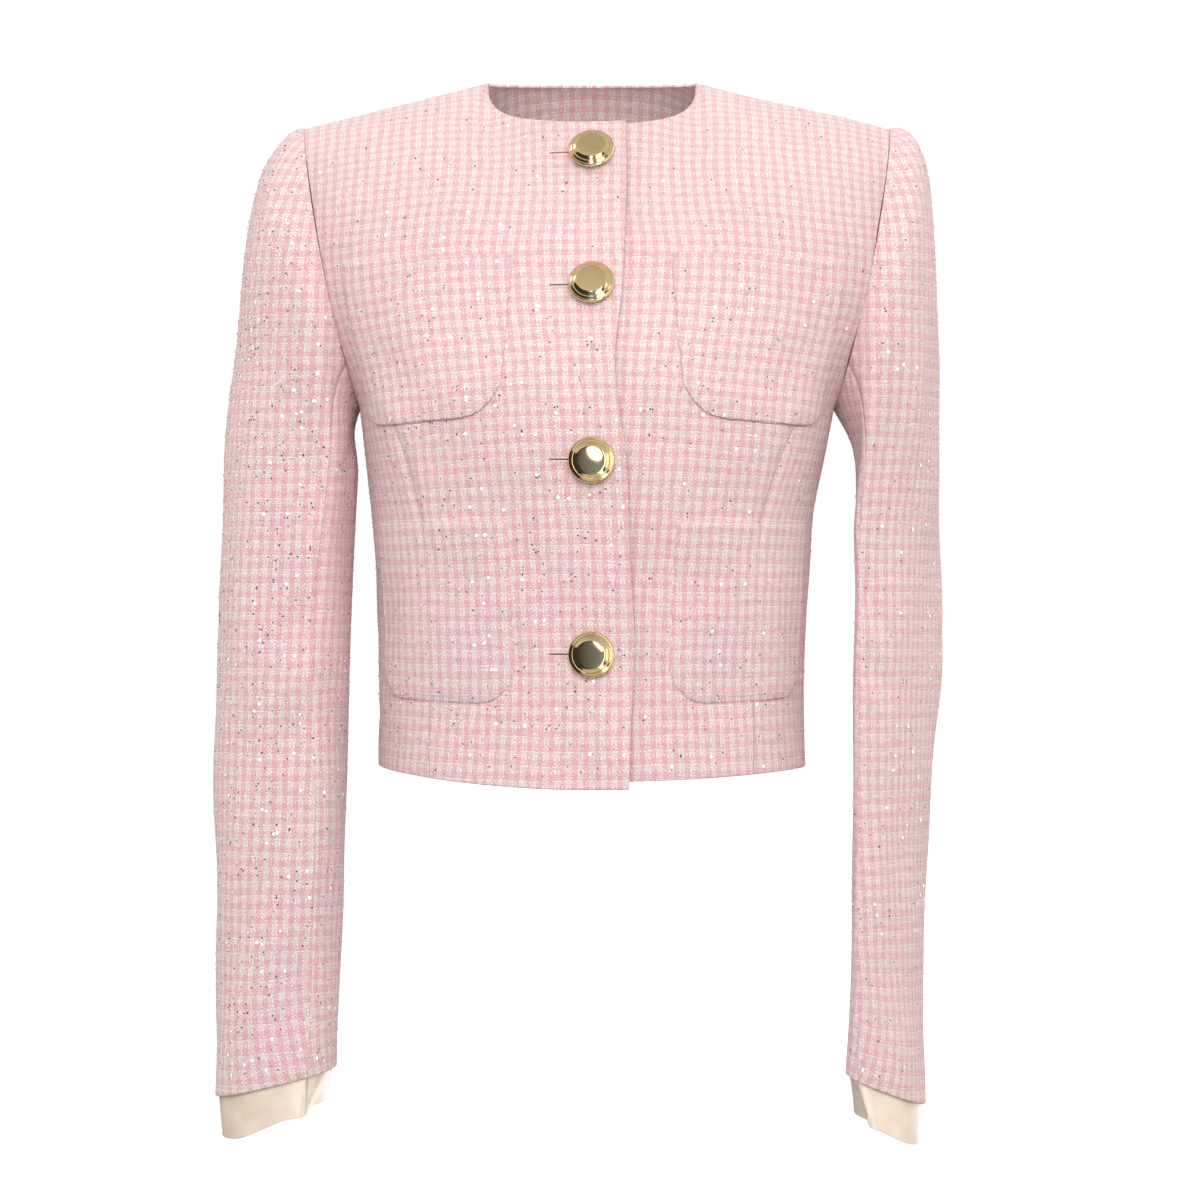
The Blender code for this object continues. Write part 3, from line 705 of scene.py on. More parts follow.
@dataclass(frozen=True)
class BodyCut:
    """The cut of the jacket's body, worked out on its +X half."""

    neck_half_width: float = 0.067
    neck_point_drop: float = 0.0014
    neck_drop_front: float = 0.0350
    neck_reach_front: float = 0.0700
    neck_rise_back: float = 0.0050
    neck_reach_back: float = 0.0520
    neck_squareness: float = 2.9
    neck_roundness: float = 2.2
    shoulder_half: float = 0.1865
    shoulder_drop: float = 0.0315
    armhole_bottom: float = 0.2130
    armhole_depth_front: float = 0.056
    armhole_depth_back: float = 0.058
    armhole_mid_x: float = 0.1720
    armhole_lean_x: float = 0.0180
    armhole_bow_x: float = 0.0035
    front_roundness: Triple = (1.0, 1.6, 1.85)
    back_roundness: Triple = (1.35, 1.6, 1.85)
    flat_middle: float = 0.0225
    blend_passes: int = 90
    armhole_blend: float = 0.40
    rows_below: int = 110
    rows_beside: int = 44
    level_places: tuple[float, ...] = (0.0, 1.0, 2.2, 3.2, 4.0, 4.6, 6.0)
    front_levels: tuple[BodyLevel, ...] = (
        BodyLevel(-0.4565, -0.1000, 0.1385, -0.4450, 2.20),
        BodyLevel(-0.4000, -0.0985, 0.1375, -0.3960, 2.20),
        BodyLevel(-0.3330, -0.1015, 0.1400, -0.3320, 2.25),
        BodyLevel(-0.2800, -0.1090, 0.1430, -0.2800, 2.35),
        BodyLevel(-0.2330, -0.1150, 0.1475, -0.2360, 2.50),
        BodyLevel(-0.2010, -0.1160, 0.1505, -0.2130, 2.55),
    )
    back_levels: tuple[BodyLevel, ...] = (
        BodyLevel(-0.4480, 0.0880, 0.1385, -0.4450, 2.20),
        BodyLevel(-0.3980, 0.0840, 0.1375, -0.3960, 2.20),
        BodyLevel(-0.3330, 0.0860, 0.1400, -0.3320, 2.20),
        BodyLevel(-0.2800, 0.0910, 0.1430, -0.2800, 2.25),
        BodyLevel(-0.2330, 0.0970, 0.1475, -0.2360, 2.30),
        BodyLevel(-0.2010, 0.1000, 0.1505, -0.2130, 2.35),
    )
    chest_middle: Triple = (-0.1180, -0.1000, 2.45)
    upper_back_middle: Triple = (-0.1120, 0.0990, 2.40)
    dart: Dart = Dart()
    dart_share: float = 0.57
    by_dart: tuple[float, ...] = (0.005, 0.009, 0.014, 0.022)
    clear_of_dart: float = 0.024
    dart_bends: float = 0.055
    columns_front: int = 97
    columns_back: int = 81
    top_bends_from: float = 0.45

    @property
    def chest_row(self) -> int:
        """The row at the middle of the armhole."""
        return self.rows_below + self.rows_beside

    def armhole_point(self, angle: Grid) -> Grid:
        """Points of the armhole; 0 is the shoulder tip and a quarter turn is the front.

        Args:
            angle: The angles round it.

        Returns:
            One point for each angle.
        """
        middle = -(self.shoulder_drop + self.armhole_bottom) / 2
        half = (self.armhole_bottom - self.shoulder_drop) / 2
        lean = np.cos(angle)
        depth = np.where(np.sin(angle) > 0, self.armhole_depth_front, self.armhole_depth_back)
        x = self.armhole_mid_x + self.armhole_lean_x * lean - self.armhole_bow_x * lean**2
        return np.stack([x, -depth * np.sin(angle), middle + half * lean], axis=-1)

    def section(self, middle: Pair, edge: Grid, squareness: float) -> Grid:
        """A level curve from the middle line to a panel's edge.

        Args:
            middle: The y and z of its start.
            edge: The point where it ends.
            squareness: The power of the superellipse that it is part of.

        Returns:
            Samples along the curve.
        """
        middle_y, middle_z = middle
        rise = edge[1] / middle_y
        across = (1.0 - abs(rise) ** squareness) ** (1.0 / squareness)
        last = math.atan2(across ** (squareness / 2), signed_power(rise, squareness / 2))
        turn = np.linspace(0.0, last, SECTION_SAMPLES)
        x = edge[0] / across * np.abs(np.sin(turn)) ** (2 / squareness)
        y = middle_y * signed_power(np.cos(turn), 2 / squareness)
        z = middle_z + (edge[2] - middle_z) * (x / edge[0]) ** 2
        return np.stack([x, y, z], axis=1)

    def neckline(self, front: bool) -> Grid:
        """The neckline from the middle line to the neck point, as samples.

        Args:
            front: Whether it is a front's.

        Returns:
            The samples.
        """
        drop = self.neck_drop_front - self.neck_point_drop if front else -self.neck_rise_back
        depth = -self.neck_reach_front if front else self.neck_reach_back
        power = 2 / (self.neck_squareness if front else self.neck_roundness)
        turn = np.linspace(0.0, math.pi / 2, SECTION_SAMPLES)
        x = self.neck_half_width * np.sin(turn) ** power
        z = -self.neck_point_drop - drop * np.abs(np.cos(turn)) ** power
        y = depth * np.abs(np.cos(turn)) ** (2 / self.neck_roundness)
        return np.stack([x, y, z], axis=1)

    def top_row(self, front: bool, shares: Grid) -> Grid:
        """The neckline over the first half of the shares and the shoulder seam over the rest.

        Args:
            front: Whether it is a front's.
            shares: The places of the columns.

        Returns:
            One point for each column.
        """
        neck = self.neckline(front)
        row = read_at(neck, np.clip(shares * 2, 0.0, 1.0) * run_along(neck)[-1])
        neck_point = np.array([self.neck_half_width, 0.0, -self.neck_point_drop])
        seam = np.clip(shares * 2 - 1, 0.0, 1.0)[:, None]
        row = np.where(seam > 0, neck_point + (self.armhole_point(0.0) - neck_point) * seam, row)
        row[shares >= 0.5, 1] += (-0.5 if front else 0.5) * CLOTH.seam_gap
        return row

    def shares(self, front: bool) -> Grid:
        """The places of a half panel's columns at the chest, closer together by the dart.

        Args:
            front: Whether it is a front's half.

        Returns:
            The places, from 0 to 1.
        """
        if not front:
            return np.linspace(0.0, 1.0, self.columns_back)
        aside = np.array(self.by_dart)
        by_dart = self.dart_share + np.concatenate([-aside[::-1], [0.0], aside])
        plain = np.linspace(0.0, 1.0, self.columns_front)
        plain = plain[(np.abs(plain - self.dart_share) > self.clear_of_dart) | (plain == 0.5)]
        return np.sort(np.concatenate([plain, by_dart]))

    def row_shares(self, front: bool, level: Grid, length: float) -> Grid:
        """The places of the columns on one row, with one column kept on the dart's line.

        Args:
            front: Whether it is a front's.
            level: The row's level, as in lower_rows.
            length: The row's length.

        Returns:
            One place for each column.
        """
        shares = self.shares(front)
        if not front:
            return shares
        height = level[0] + (level[3] - level[0]) * 0.4
        on_dart = np.interp(height, self.dart.heights, self.dart.runs) / length
        over_dart = ease((height - self.dart.heights[-1]) / self.dart_bends)
        on_dart += (self.dart_share - on_dart) * over_dart
        return np.interp(shares, [0.0, self.dart_share, 1.0], [0.0, on_dart, 1.0])

    def lower_rows(self, front: bool, hem_rise: float) -> Grid:
        """The rows of a half panel from the hem up to the middle of the armhole.

        Args:
            front: Whether it is a front's.
            hem_rise: How far the hem's middle is raised.

        Returns:
            The grid of points.
        """
        levels = self.front_levels if front else self.back_levels
        chest = self.chest_middle if front else self.upper_back_middle
        turn = 1.0 if front else -1.0
        table = [[s.middle_z, s.middle_y, s.side_x, s.side_z, s.squareness] for s in levels]
        table[0][0] += hem_rise
        mid_edge = self.armhole_point(turn * math.pi / 2)
        table.append([chest[0], chest[1], mid_edge[0], mid_edge[2], chest[2]])
        places = self.level_places
        below = np.linspace(places[0], places[-2], self.rows_below + 1)
        beside = np.linspace(places[-2], places[-1], self.rows_beside + 1)[1:]
        rows = []
        for index, level in enumerate(spline_columns(places, table, np.concatenate([below, beside]))):
            step = max(index - self.rows_below, 0)
            edge = np.array([level[2], 0.0, level[3]])
            if step:
                edge = self.armhole_point(turn * (math.pi - step * math.pi / (2 * self.rows_beside)))
            curve = self.section((level[1], level[0]), edge, level[4])
            length = run_along(curve)[-1] - CLOTH.seam_gap / 2
            rows.append(read_at(curve, self.row_shares(front, level, length) * length))
        return np.array(rows)

    def half_panel(self, front: bool, hem_rise: float = 0.0) -> Grid:
        """The outer skin from the middle line to the +X side, rows from hem to shoulder.

        Args:
            front: Whether it is a front or the back.
            hem_rise: How far the hem's middle is raised.

        Returns:
            The grid of points.
        """
        lower = self.lower_rows(front, hem_rise)
        chest, shares = lower[-1], self.shares(front)
        top = self.top_row(front, shares)
        places = [self.flat_middle, float(np.interp(0.5, shares, chest[:, 0])), chest[-1, 0]]
        roundness = np.interp(chest[:, 0], places, self.front_roundness if front else self.back_roundness)
        roundness = softened(roundness, self.blend_passes)
        soft_top = softened(top, self.blend_passes)
        by_armhole = ease((shares - 1 + self.armhole_blend) / self.armhole_blend)[:, None]
        rows = []
        for step in range(1, self.rows_beside + 1):
            angle = step / self.rows_beside * math.pi / 2
            rise = np.sin(angle) ** (2 / roundness)
            keep = max(math.cos(angle), 0.0) ** (2 / roundness)
            late = (step / self.rows_beside - self.top_bends_from) / (1 - self.top_bends_from)
            goal = soft_top + (top - soft_top) * ease(late)
            row = np.empty_like(chest)
            row[:, 0] = chest[:, 0] + (goal[:, 0] - chest[:, 0]) * (0.5 * rise + 0.5 * (1 - keep))
            row[:, 1] = goal[:, 1] + (chest[:, 1] - goal[:, 1]) * keep
            row[:, 2] = chest[:, 2] + (goal[:, 2] - chest[:, 2]) * rise
            edge = self.armhole_point((1.0 if front else -1.0) * (math.pi / 2 - angle))
            row += (edge - row[-1]) * by_armhole
            row[-1] += unit(row[-2] - edge) * CLOTH.seam_gap / 2
            rows.append(row)
        rows[-1][-1, 1] = top[-1, 1]
        return np.vstack([lower, np.array(rows)])

    def settled(self, skin: Grid, at_neck: Grid) -> Grid:
        """Outward normals of a body skin, with those of its neck and shoulder edges settled.

        Args:
            skin: Rows by columns by 3.
            at_neck: Which columns end at the neckline.

        Returns:
            The grid of normals.
        """
        normals = surface_normals(skin, False)
        normals *= np.sign(skin[0, len(skin[0]) // 2, 1] * normals[0, len(skin[0]) // 2, 1])
        across = self.shoulder_half - self.neck_half_width
        down = self.shoulder_drop - self.neck_point_drop
        normals[-1, at_neck] = normals[-2, at_neck]
        normals[-1, ~at_neck] = np.array([down, 0.0, across]) / math.hypot(across, down)
        return normals


CUT = BodyCut()


@dataclass(frozen=True)
class HeldArm:
    """The wearer's left arm, held off the body, which moves the cloth by the +X armhole out."""

    reach: float = 0.0068
    from_x: float = 0.095
    rise_x: float = 0.065
    armhole_x: float = 0.186
    fall_x: float = 0.046
    fall: float = 1.25
    from_z: float = -0.300
    rise_z: float = 0.080

    def stand_out(self, points: Grid) -> Grid:
        """The points moved out.

        Args:
            points: Points of the cloth.

        Returns:
            The moved points.
        """
        x, z = points[..., 0], points[..., 2]
        share = ease((x - self.from_x) / self.rise_x) * ease((z - self.from_z) / self.rise_z)
        moved = points.copy()
        moved[..., 0] += self.reach * share * (1 - self.fall * ease((x - self.armhole_x) / self.fall_x))
        return moved


HELD_ARM = HeldArm()


# ---- fronts and back


@dataclass(frozen=True)
class EdgeLevel:
    """How far the lapping front's free edge stands past the middle line, and how proud."""

    z: float
    reach: float
    proud: float


@dataclass(frozen=True)
class Closing:
    """The lap of the right front over the left one.

    It has sunk back to the body at the fade, and its free edge stands proud from proud_start on.
    """

    overlap: float = 0.0225
    fade: float = 0.060
    proud_start: float = 0.012
    under_hem_rise: float = 0.005
    columns: int = 16
    levels: tuple[EdgeLevel, ...] = (
        EdgeLevel(-0.4600, 0.0228, 0.0052),
        EdgeLevel(-0.4200, 0.0240, 0.0042),
        EdgeLevel(-0.3700, 0.0262, 0.0032),
        EdgeLevel(-0.3100, 0.0236, 0.0046),
        EdgeLevel(-0.2500, 0.0214, 0.0026),
        EdgeLevel(-0.1900, 0.0142, 0.0058),
        EdgeLevel(-0.1400, 0.0190, 0.0032),
        EdgeLevel(-0.0950, 0.0212, 0.0040),
        EdgeLevel(-0.0300, 0.0212, 0.0010),
    )

    def edge(self, heights: Grid) -> Grid:
        """The reach and the proud lift of the free edge at some heights."""
        values = [[level.reach, level.proud] for level in self.levels]
        return spline_columns([level.z for level in self.levels], values, heights)

    def past_middle(self, skin: Grid, reach: Grid) -> Grid:
        """Runs each row on past the middle line, as a mirror image of the skin beside it.

        Args:
            skin: The skin up to the middle line.
            reach: How far each row runs on.

        Returns:
            The wider skin.
        """
        shares = np.linspace(1.0, 0.0, self.columns + 1)[:-1]
        lap = [read_at(row, run * shares) * MIRROR for row, run in zip(skin, reach)]
        return np.concatenate([np.array(lap), skin], axis=1)


CLOSING = Closing()


@dataclass(frozen=True)
class Spot:
    """A point on a front's middle line, and the way out of the cloth there."""

    point: Grid
    out: Grid

    @property
    def up(self) -> Grid:
        """The way up the cloth."""
        return np.cross(self.out, ACROSS)

    def place(self, flat: Grid, level: float) -> Grid:
        """A point so far across and up the cloth, and so high over it."""
        return self.point + ACROSS * flat[0] + self.up * flat[1] + self.out * level


@dataclass
class Front:
    """One front of the jacket; the right one laps over the left."""

    side: Side
    creases: tuple[Crease, ...]
    unevenness: float = 0.00045
    uneven_waves: Pair = (0.080, 0.110)
    creases_from: float = 0.018
    creases_grow: float = 0.030
    dart_taken_from: float = -0.200
    dart_taken_grow: float = 0.11
    easing: tuple[Triple, ...] = ((-0.275, 0.060, 0.17), (-0.150, 0.100, 0.38))
    panel: Panel = field(init=False)
    plain_grain: Grid = field(init=False)

    def __post_init__(self) -> None:
        """Works out the front's panel, and its grain as it is before the dart is taken in."""
        self.panel = self.cut_panel()

    @property
    def laps(self) -> bool:
        """Whether this front lies on top."""
        return self.side is Side.RIGHT

    def lift(self, skin: Grid, proud: Grid) -> Grid:
        """How far the lapping front stands over the front under it.

        Args:
            skin: The front's skin.
            proud: How proud its free edge is on each row.

        Returns:
            The height at each point.
        """
        x = skin[:, :, 0]
        reach = CLOSING.fade - CLOSING.overlap
        layer = (CLOTH.tweed + CLOTH.lap_gap) * ease((CLOSING.fade - x) / reach)
        start = CLOSING.proud_start
        return layer + proud[:, None] * ease((start - x) / (start + CLOSING.overlap))

    def dart_relief(self, panel: Panel, zero: int) -> Grid:
        """The fold of the dart, along the column that keeps to its line.

        Args:
            panel: The front before the fold.
            zero: The column on the middle line.

        Returns:
            The height at each point.
        """
        dart = CUT.dart
        line = self.dart_column(zero)
        height = panel.skin[:, line, 2]
        strength = ease((dart.top - height) / dart.top_ease) * ease((height - dart.end) / dart.end_ease)
        away = np.abs(panel.grain[:, :, 0] - panel.grain[:, line : line + 1, 0])
        fold = -dart.depth * np.exp(-((away / dart.half_width) ** 1.5))
        swell = dart.swell * np.exp(-(((away - dart.swell_at) / dart.swell_width) ** 2))
        return (fold + swell) * strength[:, None]

    def cut_panel(self) -> Panel:
        """Works out the front's skin, its creases and its grain.

        Returns:
            The panel.
        """
        zero = CLOSING.columns
        skin = CUT.half_panel(True, 0.0 if self.laps else CLOSING.under_hem_rise)
        if not self.laps:
            skin = HELD_ARM.stand_out(skin)
        edge = CLOSING.edge(skin[:, 0, 2])
        reach = edge[:, 0] if self.laps else np.full(len(skin), CLOSING.overlap)
        skin = CLOSING.past_middle(skin, reach)
        at_neck = np.concatenate([np.full(zero, True), CUT.shares(True) < 0.5])
        normals = CUT.settled(skin, at_neck)
        if self.laps:
            skin = skin + normals * self.lift(skin, edge[:, 1])[:, :, None]
            normals = CUT.settled(skin, at_neck)
        level = unit(ACROSS - normals * normals[..., :1])
        grain = lay_grain(skin, level, normals, CUT.chest_row, zero)
        grain[..., 1] += self.eased_in(skin[..., 2])
        panel = Panel(skin, normals, grain)
        calm = ease((skin[..., 0] - self.creases_from) / self.creases_grow)
        relief = uneven(skin * self.side.flip, self.uneven_waves, self.unevenness, 11)
        relief = relief + sum(crease.relief(grain) for crease in self.creases) * calm
        relief *= ease((len(skin) - 1 - np.arange(len(skin))) / CALM_ROWS)[:, None]
        relief = relief + self.dart_relief(panel, zero)
        panel = Panel(skin + normals * relief[..., None], normals, grain)
        panel.normals = CUT.settled(panel.skin, at_neck)
        self.plain_grain = grain
        beyond = skin[..., 0] > skin[:, self.dart_column(zero), 0][:, None] + 1e-6
        below = self.dart_taken_from - skin[..., 2]
        taken = CUT.dart.taken * ease(below / self.dart_taken_grow)
        panel.grain = grain + np.stack([taken * beyond, np.zeros_like(taken)], axis=-1)
        return panel.on_side(self.side)

    def eased_in(self, heights: Grid) -> Grid:
        """The extra length of cloth that is eased in over the chest, up to each height.

        Args:
            heights: The heights.

        Returns:
            The lengths.
        """
        levels = np.linspace(self.easing[0][0], 0.02, 90)
        share = sum(most * ease((levels - start) / rise) for start, rise, most in self.easing)
        return np.interp(heights, levels, np.cumsum(share) * (levels[1] - levels[0]))

    def dart_column(self, zero: int) -> int:
        """The column on the dart's line."""
        return int(np.argmin(np.abs(CUT.shares(True) - CUT.dart_share))) + zero

    def middle_line(self) -> Grid:
        """Where each row crosses the middle line, from hem to neck."""
        rows = self.panel.skin * self.side.flip
        return np.array([[np.interp(0.0, row[:, 0], row[:, axis]) for axis in range(3)] for row in rows])

    def spot(self, height: float, reach: float = 0.007) -> Spot:
        """The place on the middle line at a height, with the way out of the cloth there.

        Args:
            height: Its level.
            reach: How far up and down the slope of the cloth is read.

        Returns:
            The spot.
        """
        line = self.middle_line()
        levels = np.array([height - reach, height, height + reach])
        depths = np.interp(levels, line[:, 2], line[:, 1])
        low, point, high = np.stack([np.zeros(3), depths, levels], axis=1)
        return Spot(point, unit(np.cross(ACROSS, high - low)))

    def build(self, finish: Material) -> Object:
        """Makes the front's wall and dresses it."""
        edges = Edges(low=0.0010, high=0.0010, first=0.0010, last=0.0005)
        return cloth_piece(self.panel, f"front_{self.side.value}", Slot.TWEED, finish, edges)


@dataclass
class Back:
    """The back of the jacket, in one piece."""

    unevenness: float = 0.0006

    def cut_panel(self) -> Panel:
        """Works out the back's skin from the -X side seam to the +X one.

        Returns:
            The panel.
        """
        half = CUT.half_panel(False)
        normals = CUT.settled(half, CUT.shares(False) < 0.5)
        normals[:, 0, 0] = 0.0
        normals = unit(normals)
        skin = HELD_ARM.stand_out(np.concatenate([half[:, :0:-1] * MIRROR, half], axis=1))
        normals = np.concatenate([normals[:, :0:-1] * MIRROR, normals], axis=1)
        level = unit(ACROSS - normals * normals[..., :1])
        grain = lay_grain(skin, level, normals, CUT.chest_row, half.shape[1] - 1)
        relief = uneven(skin, (0.085, 0.100), self.unevenness, 23)
        for crease in BACK_CREASES:
            relief = relief + crease.relief(grain)
        relief *= ease((len(skin) - 1 - np.arange(len(skin))) / CALM_ROWS)[:, None]
        relief *= ease((0.155 - np.abs(skin[..., 0])) / 0.03) * 0.6 + 0.4
        shares = CUT.shares(False)
        at_neck = np.concatenate([shares[:0:-1], shares]) < 0.5
        skin = skin + normals * relief[..., None]
        return Panel(skin, CUT.settled(skin, at_neck), grain)

    def build(self, finish: Material) -> Panel:
        """Makes the back's wall, dresses it and returns its panel.

        Args:
            finish: The tweed.

        Returns:
            The panel.
        """
        panel = self.cut_panel()
        cloth_piece(panel, "back", Slot.TWEED, finish, Edges(low=0.0010))
        return panel


# Creases of the body, in millimetres across from the middle line and up from the armhole's middle
FRONT_CREASES = {
    Side.RIGHT: creases(
        (150, -20, 112, -98, 13, -1.6),
        (160, -60, 118, -118, 10, 1.2),
        (40, -165, 62, -225, 11, -1.4),
        (36, -205, 105, -228, 12, 1.2),
        (140, -190, 175, -255, 12, -1.6),
        (60, -255, 120, -285, 14, -1.2),
        (30, -300, 80, -335, 13, 1.2),
        (85, 60, 110, -10, 13, -1),
    ),
    Side.LEFT: creases(
        (152, -12, 116, -92, 13, -1.6),
        (158, -70, 112, -122, 11, 1.2),
        (52, -160, 74, -235, 12, -1.4),
        (50, -215, 110, -232, 12, 1),
        (142, -200, 172, -270, 12, -1.5),
        (70, -262, 130, -280, 13, -1.2),
        (88, 55, 108, -15, 13, -1),
    ),
}
BACK_CREASES = creases(
    (-150, 0, -90, -60, 14, -2.2),
    (152, -6, 95, -70, 14, -2),
    (-90, -200, 60, -212, 16, -2.2),
    (-40, -235, 110, -228, 14, 1.8),
    (-160, -235, -90, -262, 14, -1.8),
    (40, -190, 85, -300, 16, -1.4),
    (-60, -250, -75, -330, 15, 1.4),
)


# ---- patch pockets


@dataclass(frozen=True)
class PocketCut:
    """The cut of a patch pocket, measured along the cloth from the middle line.

    The stitching sinks its sides and its foot into the front a little.
    """

    name: str
    inner_top: float
    inner_bottom: float
    width: float
    top_z: float
    depth: float
    corner: float
    sunk: float
    rows: int = 56
    columns: int = 56

    def sides(self, share: float) -> Pair:
        """The runs of the pocket's two sides at a share of its depth, corners rounded.

        Args:
            share: The share, from the mouth down.

        Returns:
            The inner and the outer run.
        """
        inner = self.inner_top + (self.inner_bottom - self.inner_top) * share
        into = max(self.depth * share - (self.depth - self.corner), 0.0)
        pull = self.corner - math.sqrt(max(self.corner**2 - into**2, 0.0))
        return inner + pull, inner + self.width - pull


POCKETS = (
    PocketCut("breast", 0.0500, 0.0590, 0.1120, -0.1190, 0.1030, 0.026, 0.0005),
    PocketCut("hip", 0.0535, 0.0480, 0.1100, -0.2890, 0.1145, 0.026, 0.0015),
)


@dataclass
class PatchPocket:
    """A patch pocket laid on a front, with a soft, slightly wavy edge."""

    cut: PocketCut
    front: Front
    grain_shift: Pair = (0.0021, 0.0017)
    wave: float = 0.00045
    crown: float = 0.0006
    mouth: float = 0.0002
    waves: Pair = (190.0, 430.0)
    rim: float = 0.006

    def cut_panel(self) -> Panel:
        """Works out the pocket's skin from the front's own points.

        Returns:
            The panel.
        """
        base = self.front.panel.on_side(self.front.side)
        heights = self.front.middle_line()[:, 2]
        numbers = np.arange(len(heights))
        top_row, low_row = np.interp(
            [self.cut.top_z, self.cut.top_z - self.cut.depth], heights, numbers
        )
        corner = np.sin(np.linspace(0.0, math.pi / 2, 22)) * self.cut.corner
        straight = self.cut.depth - self.cut.corner
        depths = np.concatenate([np.linspace(0.0, straight, self.cut.rows)[:-1], straight + corner])
        rows, columns = [], []
        for depth in depths[::-1]:
            share = depth / self.cut.depth
            at_row = top_row + (low_row - top_row) * share
            line = read_grid(base.skin, np.full(base.skin.shape[1], at_row), np.arange(base.skin.shape[1]))
            run = run_along(line)
            run -= np.interp(0.0, line[:, 0], run)
            start, end = self.cut.sides(min(share, 0.9999))
            slow, quick = (depth * way for way in self.waves)
            sway = self.wave * math.sin(slow + 1.0) + self.wave * 0.6 * math.sin(quick)
            places = np.linspace(start + sway, end - sway * 0.8, self.cut.columns)
            columns.append(np.interp(places, run, np.arange(len(run))))
            rows.append(np.full(self.cut.columns, at_row))
        row, column = np.array(rows), np.array(columns)
        normals = unit(read_grid(base.normals, row, column))
        across = np.linspace(-1.0, 1.0, self.cut.columns)[None, :]
        down = (depths[::-1] / self.cut.depth)[:, None]
        puff = self.crown * (1 - across**4) * np.sin(math.pi * np.clip(down * 0.8 + 0.2, 0, 1))
        lip = self.mouth * (1 - across**2) * ease(1 - down / 0.10)
        from_side = (1 - np.abs(across)) * self.cut.width / 2
        rim = 1 - ease(np.minimum(from_side, (1 - down) * self.cut.depth) / self.rim)
        lift = CLOTH.tweed + CLOTH.pocket_gap + puff + lip - self.cut.sunk * rim
        skin = read_grid(base.skin, row, column) + normals * lift[..., None]
        grain = read_grid(self.front.plain_grain, row, column) + np.array(self.grain_shift)
        fresh = surface_normals(skin, False)
        fresh *= np.sign(np.sum(fresh * normals, axis=2, keepdims=True))
        return Panel(skin, unit(normals + fresh), grain).on_side(self.front.side)

    def build(self, finish: Material) -> Panel:
        """Makes the pocket, dresses it and returns its panel.

        Args:
            finish: The tweed.

        Returns:
            The panel.
        """
        panel = self.cut_panel()
        side = self.front.side.value
        edges = Edges(high=0.0001, first=0.0009, last=0.0009)
        name, mates = f"pocket_{self.cut.name}_{side}", (f"front_{side}_tweed",)
        cloth_piece(panel, name, Slot.TWEED, finish, edges)
        return panel


# ---- sleeves and cuffs


@dataclass(frozen=True)
class Ring:
    """One ring of a sleeve, with its long axis turned from the front towards the body."""

    z: float
    out: float
    back: float
    half_deep: float
    half_wide: float
    turn: float
    slant: float


@dataclass(frozen=True)
class CuffFold:
    """One soft fold of a cuff, which grows towards its lower edge; its angle and width are degrees."""

    angle: float
    width: float
    out: float
    aside: float = 0.0

    def strength(self, angles: Grid) -> Grid:
        """How much of the fold there is at each angle."""
        away = np.mod(np.degrees(angles) - self.angle + 180.0, 360.0) - 180.0
        return np.exp(-((away / self.width) ** 2))


@dataclass(frozen=True)
class SleeveCut:
    """The cut of one sleeve: its rings from the armhole's foot down, and how full its head is.

    The cuff's lengths are those that show at some angles round it.
    """

    side: Side
    rings: tuple[Ring, ...]
    head: float
    cuff_lengths: tuple[Pair, ...]
    cuff_folds: tuple[CuffFold, ...]
    creases: tuple[Crease, ...]
    seed: int


